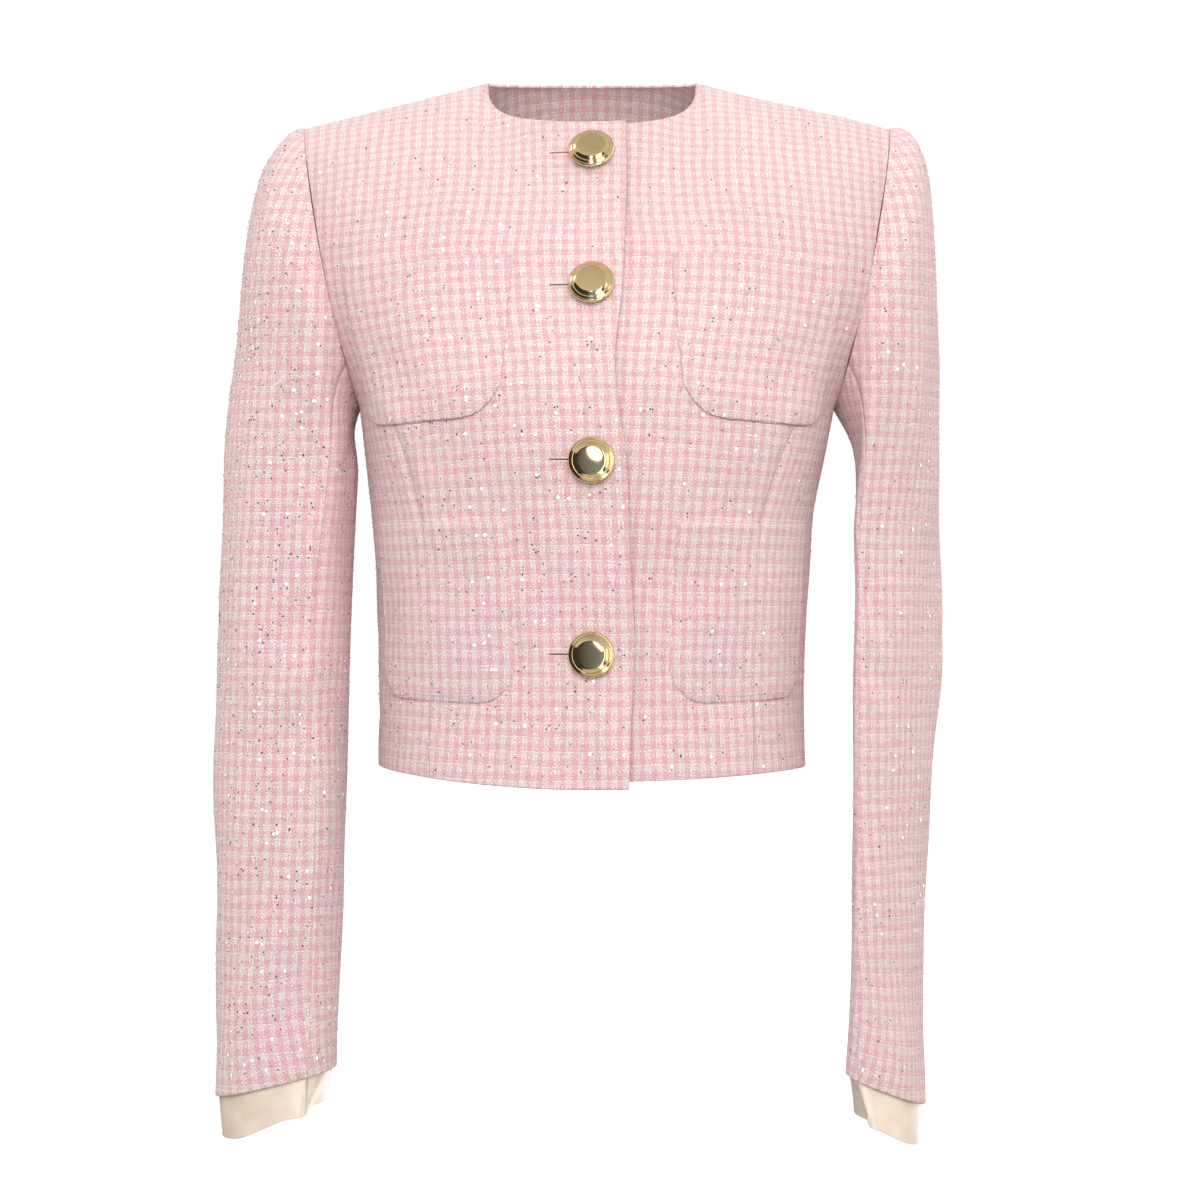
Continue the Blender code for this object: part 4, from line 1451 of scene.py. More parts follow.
@dataclass
class SleeveForm:
    """How a sleeve's tube is worked out from its rings and joined to the armhole."""

    steps: int = 168
    forearm: int = 63
    hindarm: int = 112
    ring_rows: int = 96
    cap_rows: int = 48
    top_share: float = 0.54
    fold_squareness: float = 1.32
    ring_squareness: float = 2.10
    face_across: float = 1.12
    face_along: float = 2.50
    seam_out: float = -0.0003
    cap_sideways: float = 0.35
    cap_forward: float = 0.45
    cap_lift: float = 0.16
    cap_fall: float = 0.45
    cap_push: float = 0.024
    cap_push_at_tip: float = 0.006
    cap_push_by_reach: float = 0.05
    cap_arrival: float = 0.52
    cap_row_bias: float = 1.15
    nominal_round: float = 0.300

    def ring_angles(self) -> Grid:
        """The angles round a ring, 0 at the front fold and a quarter turn outside.

        Returns:
            The angles in radians.
        """
        step = np.arange(self.steps, dtype=float)
        top_steps = self.forearm + self.steps - self.hindarm
        from_seam = np.where(step <= self.forearm, self.forearm - step, self.forearm + self.steps - step)
        over = 2 * math.pi * self.top_share * from_seam / top_steps
        share = (step - self.forearm) / (self.hindarm - self.forearm)
        under = -2 * math.pi * (1 - self.top_share) * share
        return np.where((step > self.forearm) & (step < self.hindarm), under, over)

    def tube(self, rings: tuple[Ring, ...]) -> Grid:
        """The rings of the arm on the +X side, from the armhole's foot down to the hem.

        Args:
            rings: The arm's rings.

        Returns:
            The grid of points.
        """
        shade_specks = np.array([-ring.z for ring in rings])
        values = [[r.z, r.out, r.back, r.half_deep, r.half_wide, r.turn, r.slant] for r in rings]
        levels = spline_columns(shade_specks, values, np.linspace(shade_specks[0], shade_specks[-1], self.ring_rows + 1))
        z, out, back, half_deep, half_wide, turn, slant = (levels[:, k][:, None] for k in range(7))
        turn = np.radians(turn)
        angles = self.ring_angles()[None, :]
        front, outside = np.cos(angles) > 0, np.sin(angles) > 0
        deep = np.where(outside, self.face_along, self.fold_squareness)
        along = signed_power(np.cos(angles), 2 / np.where(front, deep, self.ring_squareness)) * half_deep
        wide = np.where(front & outside, self.face_across, self.ring_squareness)
        across = signed_power(np.sin(angles), 2 / wide) * half_wide
        x = -along * np.sin(turn) + across * np.cos(turn)
        y = -along * np.cos(turn) - across * np.sin(turn)
        return np.stack([out + x, back + y, z + slant * x], axis=-1)

    def skin(self, sleeve: SleeveCut) -> Grid:
        """The outer skin of one sleeve on the +X side, hem to armhole, as a closed grid.

        Args:
            sleeve: The sleeve's cut.

        Returns:
            The grid of points.
        """
        tube = self.tube(sleeve.rings)
        turns = 2 * np.pi * np.arange(self.steps) / self.steps
        start = CUT.armhole_point(turns)
        start[:, 0] += self.seam_out
        lean = np.cos(turns)[:, None]
        sideways = self.cap_sideways + (1 - self.cap_sideways) * np.clip(lean + self.cap_sideways, 0.0, 1.0)
        forward = -self.cap_forward * np.sin(turns)[:, None]
        upward = self.cap_lift * sleeve.head - self.cap_fall * (1 - lean)
        leave_way = unit(np.hstack([sideways, forward, upward]))
        reach = np.linalg.norm(tube[0] - start, axis=1, keepdims=True)
        push = self.cap_push + self.cap_push_at_tip * lean + self.cap_push_by_reach * reach
        push *= 1 + (sleeve.head - 1) * np.clip(lean, 0.0, 1.0)
        leave = start + leave_way * push
        arrive = tube[0] + unit(tube[0] - tube[1]) * reach * self.cap_arrival
        cap = []
        for share in np.linspace(0.0, 1.0, self.cap_rows + 1)[:-1] ** self.cap_row_bias:
            rest = 1 - share
            near = rest**3 * start + 3 * rest**2 * share * leave
            cap.append(near + 3 * rest * share**2 * arrive + share**3 * tube[0])
        return np.vstack([np.array(cap), tube])[::-1]


FORM = SleeveForm()


@dataclass
class Sleeve:
    """A two-piece tweed sleeve with a satin cuff."""

    cut: SleeveCut
    unevenness: float = 0.0008
    pucker: float = 0.0004
    pucker_waves: tuple[int, int] = (31, 7)
    pucker_at: float = 0.005
    pucker_width: float = 0.006
    calm_by_armhole: float = 0.045
    calm_by_hem: float = 0.022
    cuff_tuck: float = 0.010
    cuff_flare: float = -0.0022
    cuff_rows: int = 16
    cuff_ease: int = 60
    cuff_edge_ease: int = 40
    cuff_ripple: float = 0.0005
    hem_rows: int = 4

    def tube_panel(self) -> Panel:
        """The whole tube with its creases, on the +X side.

        Returns:
            The panel.
        """
        skin = FORM.skin(self.cut)
        if self.cut.side is Side.LEFT:
            skin = HELD_ARM.stand_out(skin)
        normals = -surface_normals(skin, True)
        share = np.arange(FORM.steps) / FORM.steps
        around = np.broadcast_to(share * FORM.nominal_round, skin.shape[:2])
        places = np.stack([around, skin[..., 2]], axis=-1)
        relief = uneven(skin, (0.060, 0.130), self.unevenness, self.cut.seed)
        for crease in self.cut.creases:
            relief = relief + crease.relief(places, FORM.nominal_round)
        from_hem = run_along(skin)
        from_seam = from_hem[-1] - from_hem
        relief *= ease(from_seam / self.calm_by_armhole) * ease((from_hem + 0.004) / self.calm_by_hem)
        upper = np.clip(np.cos(2 * np.pi * share), 0.0, 1.0) ** 0.5
        quick, slow = (share * 2 * np.pi * waves for waves in self.pucker_waves)
        fade = np.exp(-(((from_seam - self.pucker_at) / self.pucker_width) ** 2))
        relief += self.pucker * upper * np.sin(quick + 1.5 * np.sin(slow)) * fade
        return Panel(skin, normals, np.zeros((*skin.shape[:2], 2)), True).raised(relief)

    def with_grain(self, panel: Panel, picked: list[int], zero: int) -> Panel:
        """The panel with its grain laid, upright on the arm and leaning in over the head.

        Args:
            panel: The tweed panel.
            picked: The tube's columns that it takes.
            zero: The column where the threads across start.

        Returns:
            The same panel.
        """
        lean = ease((np.arange(len(panel.skin)) - FORM.ring_rows) / FORM.cap_rows)[:, None, None]
        over = np.clip(np.cos(2 * np.pi * np.array(picked) / FORM.steps), 0.0, 1.0)
        lean = lean * over[:, None]
        upward = unit(UPRIGHT * (1 - 0.2 * lean) - ACROSS * 0.2 * lean)
        upward = unit(upward - panel.normals * np.sum(panel.normals * upward, axis=2, keepdims=True))
        level = np.cross(upward, panel.normals)
        panel.grain = lay_grain(panel.skin, level, panel.normals, self.hem_rows, zero)
        return panel

    def cuff_panel(self, tube: Panel) -> Panel:
        """The satin cuff, which starts inside the sleeve's hem.

        Args:
            tube: The whole sleeve.

        Returns:
            The cuff's panel.
        """
        inset = tube.skin[0] - tube.normals[0] * (CLOTH.tweed + CLOTH.layer_gap)
        loose = softened(np.tile(inset, (3, 1)), self.cuff_ease)[FORM.steps : 2 * FORM.steps]
        fall = unit(tube.skin[0] - tube.skin[2])
        angles = FORM.ring_angles()
        places, lengths = np.array(self.cut.cuff_lengths).T
        length = np.interp(np.degrees(angles), places, lengths, period=360.0)
        for _ in range(self.cuff_edge_ease):
            length = (np.roll(length, 1) + 2 * length + np.roll(length, -1)) / 4
        rows = []
        for share in np.linspace(1.0, 0.0, self.cuff_rows):
            out = self.cuff_flare + self.cuff_ripple * np.sin(5 * angles + self.cut.seed)
            out = out + sum(fold.out * fold.strength(angles) for fold in self.cut.cuff_folds)
            aside = sum(fold.aside * fold.strength(angles) for fold in self.cut.cuff_folds)
            moved = tube.normals[0] * out[:, None] + ACROSS * aside[:, None]
            start = inset * (1 - share) + loose * share
            rows.append(start + fall * (length * share)[:, None] + moved * share)
        rows += [inset - fall * self.cuff_tuck * share for share in (0.35, 0.7, 1.0)]
        skin = np.array(rows)
        normals = -surface_normals(skin, True)
        run = run_along(skin.transpose(1, 0, 2)).T
        grain = np.stack([run, run_along(skin)], axis=-1)
        return Panel(skin, normals, grain, True)

    def build(self, tweed: Material, satin: Material) -> list[Panel]:
        """Makes the top sleeve, the under sleeve and the cuff.

        Args:
            tweed: The tweed's finish.
            satin: The cuff's finish.

        Returns:
            The panels of the top and the under sleeve.
        """
        side = self.cut.side.value
        tube = self.tube_panel()
        top = [step % FORM.steps for step in range(FORM.hindarm, FORM.forearm + FORM.steps + 1)]
        under = list(range(FORM.forearm, FORM.hindarm + 1))
        made = []
        for name, columns in (("sleeve_top", top), ("sleeve_under", under)):
            zero = columns.index(0) if 0 in columns else len(columns) // 2
            panel = self.with_grain(tube.columns(columns, CLOTH.seam_gap / 2), columns, zero)
            made.append(panel.on_side(self.cut.side))
            edges = Edges(low=0.0010, high=0.0007, first=0.0001, last=0.0001)
            cloth_piece(made[-1], f"{name}_{side}", Slot.TWEED, tweed, edges)
        cuff = self.cuff_panel(tube).on_side(self.cut.side)
        cloth_piece(cuff, f"cuff_{side}", Slot.SATIN, satin, Edges(low=0.0006, high=0.0006))
        return made


# The sleeves; creases are in millimetres round from the outside by the front, and in height
SLEEVES = (
    SleeveCut(
        Side.RIGHT,
        (
            Ring(-0.262, 0.1940, 0.004, 0.0550, 0.0430, 26.0, 0.00),
            Ring(-0.320, 0.1978, 0.005, 0.0530, 0.0430, 24.0, 0.00),
            Ring(-0.380, 0.1995, 0.003, 0.0510, 0.0435, 25.0, 0.00),
            Ring(-0.450, 0.2003, -0.001, 0.0490, 0.0430, 28.0, -0.03),
            Ring(-0.520, 0.2008, -0.007, 0.0460, 0.0418, 30.0, -0.08),
            Ring(-0.585, 0.2012, -0.014, 0.0435, 0.0405, 31.0, -0.15),
            Ring(-0.647, 0.2022, -0.021, 0.0415, 0.0400, 31.0, -0.24),
        ),
        0.70,
        (
            (-150.0, 0.0235), (-57.0, 0.0222), (-4.0, 0.0262), (33.0, 0.0236),
            (73.0, 0.0285), (123.0, 0.0252), (180.0, 0.0240),
        ),
        (
            CuffFold(15.0, 22.0, -0.0016),
            CuffFold(60.0, 22.0, 0.0014),
            CuffFold(-30.0, 30.0, -0.0020, 0.003),
        ),
        creases(
            (0, -10, 0, -170, 50, 5),
            (112.5, -210, 112.5, -330, 8, 1.6),
            (128, -200, 128, -320, 10, -2.4),
            (155, -195, 122, -262, 7, -3),
            (60, -180, 85, -300, 12, -2.2),
            (110, -330, 55, -372, 10, -2.8),
            (118, -372, 65, -402, 10, 1.8),
            (105, -405, 50, -440, 11, -2.2),
            (240, -330, 290, -360, 12, -2),
            (30, -240, 45, -420, 14, 1.4),
            (55, -450, 70, -600, 13, -1.4),
        ),
        31,
    ),
    SleeveCut(
        Side.LEFT,
        (
            Ring(-0.262, 0.1960, 0.004, 0.0550, 0.0240, 27.0, 0.00),
            Ring(-0.320, 0.1990, 0.005, 0.0555, 0.0170, 30.0, 0.00),
            Ring(-0.380, 0.1985, 0.003, 0.0550, 0.0165, 30.0, 0.00),
            Ring(-0.450, 0.1950, -0.001, 0.0530, 0.0160, 28.0, -0.05),
            Ring(-0.520, 0.1925, -0.007, 0.0515, 0.0165, 26.0, -0.14),
            Ring(-0.585, 0.1900, -0.014, 0.0500, 0.0175, 24.0, -0.28),
            Ring(-0.652, 0.1885, -0.021, 0.0485, 0.0220, 24.0, -0.44),
        ),
        1.15,
        (
            (-150.0, 0.0250), (-70.0, 0.0245), (-20.0, 0.0275), (10.0, 0.0290),
            (50.0, 0.0250), (110.0, 0.0262), (180.0, 0.0255),
        ),
        (CuffFold(0.0, 38.0, -0.0030, 0.0085), CuffFold(40.0, 18.0, 0.0016), CuffFold(95.0, 20.0, -0.0018)),
        creases(
            (0, -70, 0, -180, 50, -2.4),
            (110, -140, 112.5, -310, 8, 3),
            (128, -150, 130, -300, 11, -4),
            (60, -170, 80, -290, 12, -2),
            (100, -320, 50, -365, 10, -2.2),
            (100, -372, 40, -398, 10, -2),
            (240, -350, 290, -380, 12, -1.6),
            (25, -420, 40, -600, 13, -1.6),
            (60, -430, 70, -590, 12, 1.2),
        ),
        47,
    ),
)


# ---- buttons and buttonholes


@dataclass
class Button:
    """A domed metal button with two raised rings, on a thread shank.

    Its face is tipped some degrees up from the cloth, and some sideways towards -X.
    """

    number: int
    height: float
    upward: float = 0.0
    sideways: float = 0.0
    diameter: float = 0.0290
    shank_diameter: float = 0.0030
    gap: float = 0.0012
    sides: int = 96
    outline: tuple[Pair, ...] = (
        (0.000, 6.30), (0.200, 6.27), (0.360, 6.20), (0.480, 6.11), (0.560, 6.02), (0.610, 5.92),
        (0.640, 5.78), (0.668, 5.54), (0.696, 5.25), (0.724, 4.94), (0.750, 4.64), (0.772, 4.39),
        (0.786, 4.24), (0.798, 4.18), (0.812, 4.24), (0.828, 4.26), (0.842, 4.16), (0.858, 3.98),
        (0.880, 3.74), (0.902, 3.50), (0.922, 3.28), (0.934, 3.20), (0.946, 3.18), (0.960, 3.12),
        (0.976, 2.90), (0.990, 2.46), (1.000, 1.84), (0.994, 1.30), (0.972, 0.92), (0.930, 0.66),
        (0.800, 0.45),
    )

    def profile(self) -> Grid:
        """The outline as radii and heights in metres, with points between those given.

        Returns:
            The points.
        """
        given = np.array(self.outline) * np.array([self.diameter / 2, 0.001])
        run = run_along(given)
        fine = np.sort(np.concatenate([run, (run[1:] + run[:-1]) / 2]))
        return spline_columns(run, given, fine)

    def build(self, upper: Front, lower: Front, finish: Material) -> None:
        """Turns the button and sets it on the lapping front, with its shank through the cloth.

        Args:
            upper: The lapping front.
            lower: The front under it.
            finish: The metal.
        """
        spot = upper.spot(self.height)
        foot = lower.spot(self.height).point
        shank = float(np.dot(spot.point - foot, spot.out)) - CLOTH.layer_gap
        outline = self.profile()
        outline[:, 1] += self.gap
        turns = 2 * np.pi * np.arange(self.sides)[:, None] / self.sides
        tips = np.tan(np.radians([self.upward, self.sideways]))
        face = unit(spot.out + spot.up * tips[0] - ACROSS * tips[1])
        level_way = unit(np.cross(spot.up, face))
        rings = [(reach, level, face, level_way) for reach, level in outline[1:]]
        rings += [(self.shank_diameter / 2, level, spot.out, ACROSS) for level in (outline[-1, 1], -shank)]
        mesh = bmesh.new()
        crown = mesh.verts.new(spot.point + face * outline[0, 1])
        loops = []
        for reach, level, way, first in rings:
            around = np.cos(turns) * first + np.sin(turns) * np.cross(way, first)
            loops.append([mesh.verts.new(place) for place in spot.point + way * level + around * reach])
        bridge(mesh, loops)
        for side in range(self.sides):
            mesh.faces.new((crown, loops[0][side], loops[0][side - 1]))
        mesh.faces.new(loops[-1])
        item = solid(f"button_{self.number}_metal", mesh)
        item.data.shade_smooth()
        item.data.set_sharp_from_angle(angle=math.radians(50))
        dress(item, finish, f"button_{self.number}")


@dataclass
class Buttonhole:
    """A keyhole buttonhole: a round eye for the shank, a slit, and stitches round both."""

    height: float
    length: float = 0.0285
    slit: float = 0.0009
    eye: float = 0.0040
    reach: float = 0.0060
    stitch_gap: float = 0.00075
    stitch_long: float = 0.0013
    stitch_thick: float = 0.00026
    stitch_lean: float = 0.12
    bar_sides: int = 6
    bar_stations: int = 4

    def outline(self, grow: float = 0.0) -> Grid:
        """The keyhole's points, clockwise from the eye's lower mouth.

        Args:
            grow: How far outside the cut they lie.

        Returns:
            The points, across and up.
        """
        eye, slit = self.eye / 2 + grow, self.slit / 2 + grow
        mouth = math.pi - math.asin(slit / eye)
        turns = np.linspace(-mouth, mouth, 15)
        end = self.eye / 2 - self.length - grow
        points = [(eye * math.cos(turn), eye * math.sin(turn)) for turn in turns]
        return np.array(points + [(end, slit), (end, -slit)])

    def cutter(self, front: Front) -> Object:
        """A block in the shape of the keyhole, square to the cloth.

        Args:
            front: The lapping front.

        Returns:
            The block.
        """
        spot = front.spot(self.height)
        mesh = bmesh.new()
        loops = []
        for level in (self.reach, -self.reach):
            loops.append([mesh.verts.new(spot.place(flat, level)) for flat in self.outline()])
            mesh.faces.new(loops[-1])
        bridge(mesh, loops)
        return solid("buttonhole_cutter", mesh)

    def stitches(self, front: Front, mesh: BMesh, seed: int) -> None:
        """Lays a thread bar over the cloth's edge at each stitch round the keyhole.

        Args:
            front: The lapping front.
            mesh: Takes the bars.
            seed: Picks each bar's small lean.
        """
        rng = np.random.default_rng(seed)
        spot = front.spot(self.height)
        outline = self.outline(0.0001)
        centre = (outline.sum(axis=0) + outline[0]) / (len(outline) + 1)
        outline = np.concatenate([outline, outline[:1]])
        run = run_along(outline)
        away = front.panel.skin.reshape(-1, 3) - spot.point
        near = away[np.linalg.norm(away, axis=1) < 0.045]
        cloth = near @ np.stack([ACROSS, spot.up, spot.out], axis=1)
        for place in np.arange(0.0, run[-1], self.stitch_gap):
            here, ahead = (
                np.array([np.interp(at, run, outline[:, k]) for k in range(2)])
                for at in (place, place + 1e-4)
            )
            along = unit(ahead - here)
            away = np.array([along[1], -along[0]])
            away *= 1.0 if away @ (here - centre) > 0 else -1.0
            away = unit(away + along * rng.normal(0.0, self.stitch_lean))
            length = self.stitch_long * rng.uniform(0.85, 1.1)
            self.bar(mesh, spot, cloth, (here - away * 0.0002, here + away * length))

    def bar(self, mesh: BMesh, spot: Spot, cloth: Grid, ends: tuple[Grid, Grid]) -> None:
        """Adds one rounded bar of thread that lies on the cloth.

        Args:
            mesh: Takes the bar.
            spot: The buttonhole's place.
            cloth: Points of the cloth near it, across, up and out from the spot.
            ends: Where the bar starts and ends, across and up.
        """
        start, end = ends
        along = unit(end - start)
        aside = np.array([-along[1], along[0]]) * self.stitch_thick
        turns = 2 * math.pi * np.arange(self.bar_sides) / self.bar_sides
        loops = []
        for share in np.linspace(0.0, 1.0, self.bar_stations):
            middle = start + (end - start) * share
            nearest = np.argsort(np.sum((cloth[:, :2] - middle) ** 2, axis=1))[:4]
            level = cloth[nearest, 2].mean() + self.stitch_thick * (0.55 if 0 < share < 1 else -0.5)
            thick = self.stitch_thick * 0.8
            places = [(middle + aside * math.cos(turn), math.sin(turn) * thick) for turn in turns]
            loops.append([mesh.verts.new(spot.place(flat, level + rise)) for flat, rise in places])
        bridge(mesh, loops)
        mesh.faces.new(loops[0])
        mesh.faces.new(loops[-1])


@dataclass
class ButtonRow:
    """The four buttons, their buttonholes and the stitches round them."""

    heights: tuple[float, ...] = (-0.0540, -0.1400, -0.2500, -0.3715)
    upward: tuple[float, ...] = (13.5, 13.0, 8.0, 1.5)
    sideways: tuple[float, ...] = (4.0, 4.0, 5.0, 7.5)

    def cut_holes(self, piece: Object, front: Front) -> None:
        """Cuts the keyholes through the lapping front's wall and keeps the result.

        Args:
            piece: The wall.
            front: The lapping front.
        """
        cutters = [Buttonhole(height).cutter(front) for height in self.heights]
        for cutter in cutters:
            cut = piece.modifiers.new(cutter.name, "BOOLEAN")
            cut.object = cutter
            cut.operation = "DIFFERENCE"
            cut.solver = "EXACT"
        graph = bpy.context.evaluated_depsgraph_get()
        made = bpy.data.meshes.new_from_object(piece.evaluated_get(graph))
        piece.modifiers.clear()
        piece.data = made
        for cutter in cutters:
            bpy.data.objects.remove(cutter)

    def build(self, piece: Object, upper: Front, lower: Front, metal: Material, thread: Material) -> None:
        """Cuts the buttonholes, stitches round them and sets the buttons.

        Args:
            piece: The lapping front's wall.
            upper: The lapping front.
            lower: The front under it.
            metal: The buttons' finish.
            thread: The stitches' finish.
        """
        self.cut_holes(piece, upper)
        mesh = bmesh.new()
        for number, height in enumerate(self.heights, start=1):
            Buttonhole(height).stitches(upper, mesh, number)
            tips = self.upward[number - 1], self.sideways[number - 1]
            Button(number, height, *tips).build(upper, lower, metal)
        item = solid("buttonhole_stitches", mesh)
        item.data.shade_smooth()
        dress(item, thread)


# ---- sequins


# No sequin is sewn this far under the lap, or this near to a button
UNDER_LAP = 0.029
BY_BUTTON = 0.018


@dataclass
class SequinScatter:
    """Small sequins sewn here and there on one cloth piece, and dark specks of painted shade between them.
    """

    name: str
    panel: Panel
    seed: int
    per_square_metre: float = 7600.0
    radius: float = 0.00122
    hole: float = 0.00025
    cup: float = 0.00012
    thickness: float = 0.00008
    sides: int = 6
    lift: float = 0.00026
    tilt: float = 0.09
    bright_share: float = 0.195
    off_stripe: float = 0.22
    bright_way: Triple = (0.235, -0.972, 0.02)
    shade_speck: Pair = (0.00088, 0.00024)
    shade_speck_sides: int = 3
    thin_from: float = -0.215
    thin_rise: float = 0.115
    thin_most: float = 0.0

    def places(self, keep_out: Grid) -> Grid:
        """Part rows and columns of the sequins.

        Args:
            keep_out: For each cell of the grid, whether nothing is sewn there.

        Returns:
            One row and one column for each sequin.
        """
        rng = np.random.default_rng(self.seed)
        skin = self.panel.skin
        across, along = np.diff(skin, axis=1)[:-1], np.diff(skin, axis=0)[:, :-1]
        area = np.linalg.norm(np.cross(across, along), axis=2)
        area *= 1 - self.thin_most * ease((skin[:-1, :-1, 2] - self.thin_from) / self.thin_rise)
        area[keep_out] = 0.0
        wanted = int(area.sum() * self.per_square_metre)
        picked = rng.choice(area.size, size=wanted * 5, p=(area / area.sum()).ravel())
        row, column = np.unravel_index(picked, area.shape)
        row = row + rng.uniform(0.0, 1.0, len(row))
        column = column + rng.uniform(0.0, 1.0, len(column))
        stripe = np.mod(read_grid(self.panel.grain, row, column) / np.array(CHECK), 1.0)
        on_cream = (stripe > 0.5).all(axis=1) | (rng.random(len(row)) < self.off_stripe)
        return np.stack([row[on_cream], column[on_cream]], axis=1)[:wanted]

    def build(self, keep_out: Grid, finish: Material, thread: Material) -> None:
        """Makes the sequins of this piece as one object and, where no sequin is made, dark specks of
        painted shade as another.

        Args:
            keep_out: For each cell of the grid, whether nothing is sewn there.
            finish: The sequins' finish.
            thread: The dark specks' finish, which is painted shade.
        """
        rng = np.random.default_rng(self.seed + 1)
        places = self.places(keep_out)
        count = len(places)
        centre = read_grid(self.panel.skin, places[:, 0], places[:, 1])
        out = unit(read_grid(self.panel.normals, places[:, 0], places[:, 1]))
        axis = unit(out + rng.normal(0.0, self.tilt, (count, 3)))
        bright = rng.random(count) < self.bright_share
        facing = bright & (out @ np.array(self.bright_way) > 0.80)
        axis[facing] = unit(axis[facing] * 0.2 + np.array(self.bright_way) * 0.8)
        side = unit(np.cross(axis, UPRIGHT + rng.normal(0.0, 0.2, (count, 3))))
        other = np.cross(axis, side)
        rings = []
        for sides in (self.sides, self.shade_speck_sides):
            turns = 2 * math.pi * np.arange(sides)[None, :, None] / sides
            rings.append(np.cos(turns) * side[:, None] + np.sin(turns) * other[:, None])
        ring, corners_of_shade_speck = rings
        middle = (centre + out * (self.lift + bright * 0.0002)[:, None])[:, None]
        size = rng.uniform(0.88, 1.08, count)[:, None, None]
        loops = []
        for reach, level in (
            (self.radius, self.cup),
            (self.hole, 0.0),
            (self.hole, -self.thickness),
            (self.radius, self.cup - self.thickness),
        ):
            loops.append(middle + ring * reach * size + axis[:, None] * level)
        # The bright share become near-white discs, whose colour is partly a painted highlight for the
        # glints of clear sequins.
        self.sew(self.name, np.stack(loops, axis=1)[bright], ((0, 1), (1, 2), (2, 3), (3, 0)), finish)
        # Dark specks where no sequin is made: painted shade, standing for the shadows in clear sequins'
        # holes.
        reach, high = self.shade_speck
        across = rng.uniform(0.60, 1.12, count)[:, None, None]
        loops = [
            middle + corners_of_shade_speck * reach * across,
            middle + corners_of_shade_speck * 0.00003 + axis[:, None] * high,
            middle + corners_of_shade_speck * 0.00003 - axis[:, None] * 0.00004,
        ]
        self.sew(f"{self.name}_knots", np.stack(loops, axis=1)[~bright], ((0, 1), (1, 2), (2, 0)), thread)

    def sew(self, name: str, loops: Grid, pairs: tuple[tuple[int, int], ...], finish: Material) -> None:
        """Joins the loops of points of many small things to rings of faces, as one piece.

        Args:
            name: The piece's name.
            loops: Things by loops by points by 3.
            pairs: The loops to join.
            finish: The piece's finish.
        """
        number = np.arange(loops.size // 3).reshape(loops.shape[:3])
        after = np.roll(number, -1, axis=2)
        faces = []
        for low, high in pairs:
            quad = [number[:, low], after[:, low], after[:, high], number[:, high]]
            faces.append(np.stack(quad, axis=-1).reshape(-1, 4))
        points = loops.reshape(-1, 3)
        piece = cloth_object(name, points, np.concatenate(faces), np.zeros((len(points), 2)))
        piece.data.set_sharp_from_angle(angle=math.radians(40))
        dress(piece, finish)


def pocket_cells(front: Front, margin: float = 0.0025) -> Grid:
    """Which cells of a front's grid lie under a pocket, a button, the lap or an edge.

    Args:
        front: The front.
        margin: How far from them nothing is sewn.

    Returns:
        True for each such cell.
    """
    skin = front.panel.skin * front.side.flip
    heights = front.middle_line()[:, 2]
    run = run_along(skin.transpose(1, 0, 2)).T
    run = run - np.array([[np.interp(0.0, row[:, 0], along)] for row, along in zip(skin, run)])
    hidden = np.zeros(run.shape, bool)
    for pocket in POCKETS:
        share = (pocket.top_z + margin - heights) / (pocket.depth + 2 * margin)
        for row in np.flatnonzero((share > 0) & (share < 1)):
            start, end = pocket.sides(float(share[row]))
            hidden[row] |= (run[row] > start - margin) & (run[row] < end + margin)
    if not front.laps:
        hidden |= run < UNDER_LAP
    for height in ButtonRow().heights:
        hidden |= np.hypot(run, skin[..., 2] - height) < BY_BUTTON
    hidden[:2] = hidden[-3:] = True
    hidden[:, :2] = hidden[:, -2:] = True
    return hidden[:-1, :-1]


def edge_cells(panel: Panel) -> Grid:
    """The cells along a panel's edges.

    Args:
        panel: The panel.

    Returns:
        True where a cell is at an edge.
    """
    edge = np.zeros((panel.skin.shape[0] - 1, panel.skin.shape[1] - 1), bool)
    edge[:2] = edge[-2:] = True
    edge[:, :2] = edge[:, -2:] = True
    return edge


# ---- finishes


def linear(colour: Shade) -> tuple[float, float, float, float]:
    """A colour of 0 to 255 a channel as linear light.

    Args:
        colour: The colour.

    Returns:
        Its red, green, blue and alpha.
    """
    values = [c / 255 for c in colour]
    light = [c / 12.92 if c <= 0.04045 else ((c + 0.055) / 1.055) ** 2.4 for c in values]
    return (*light, 1.0)


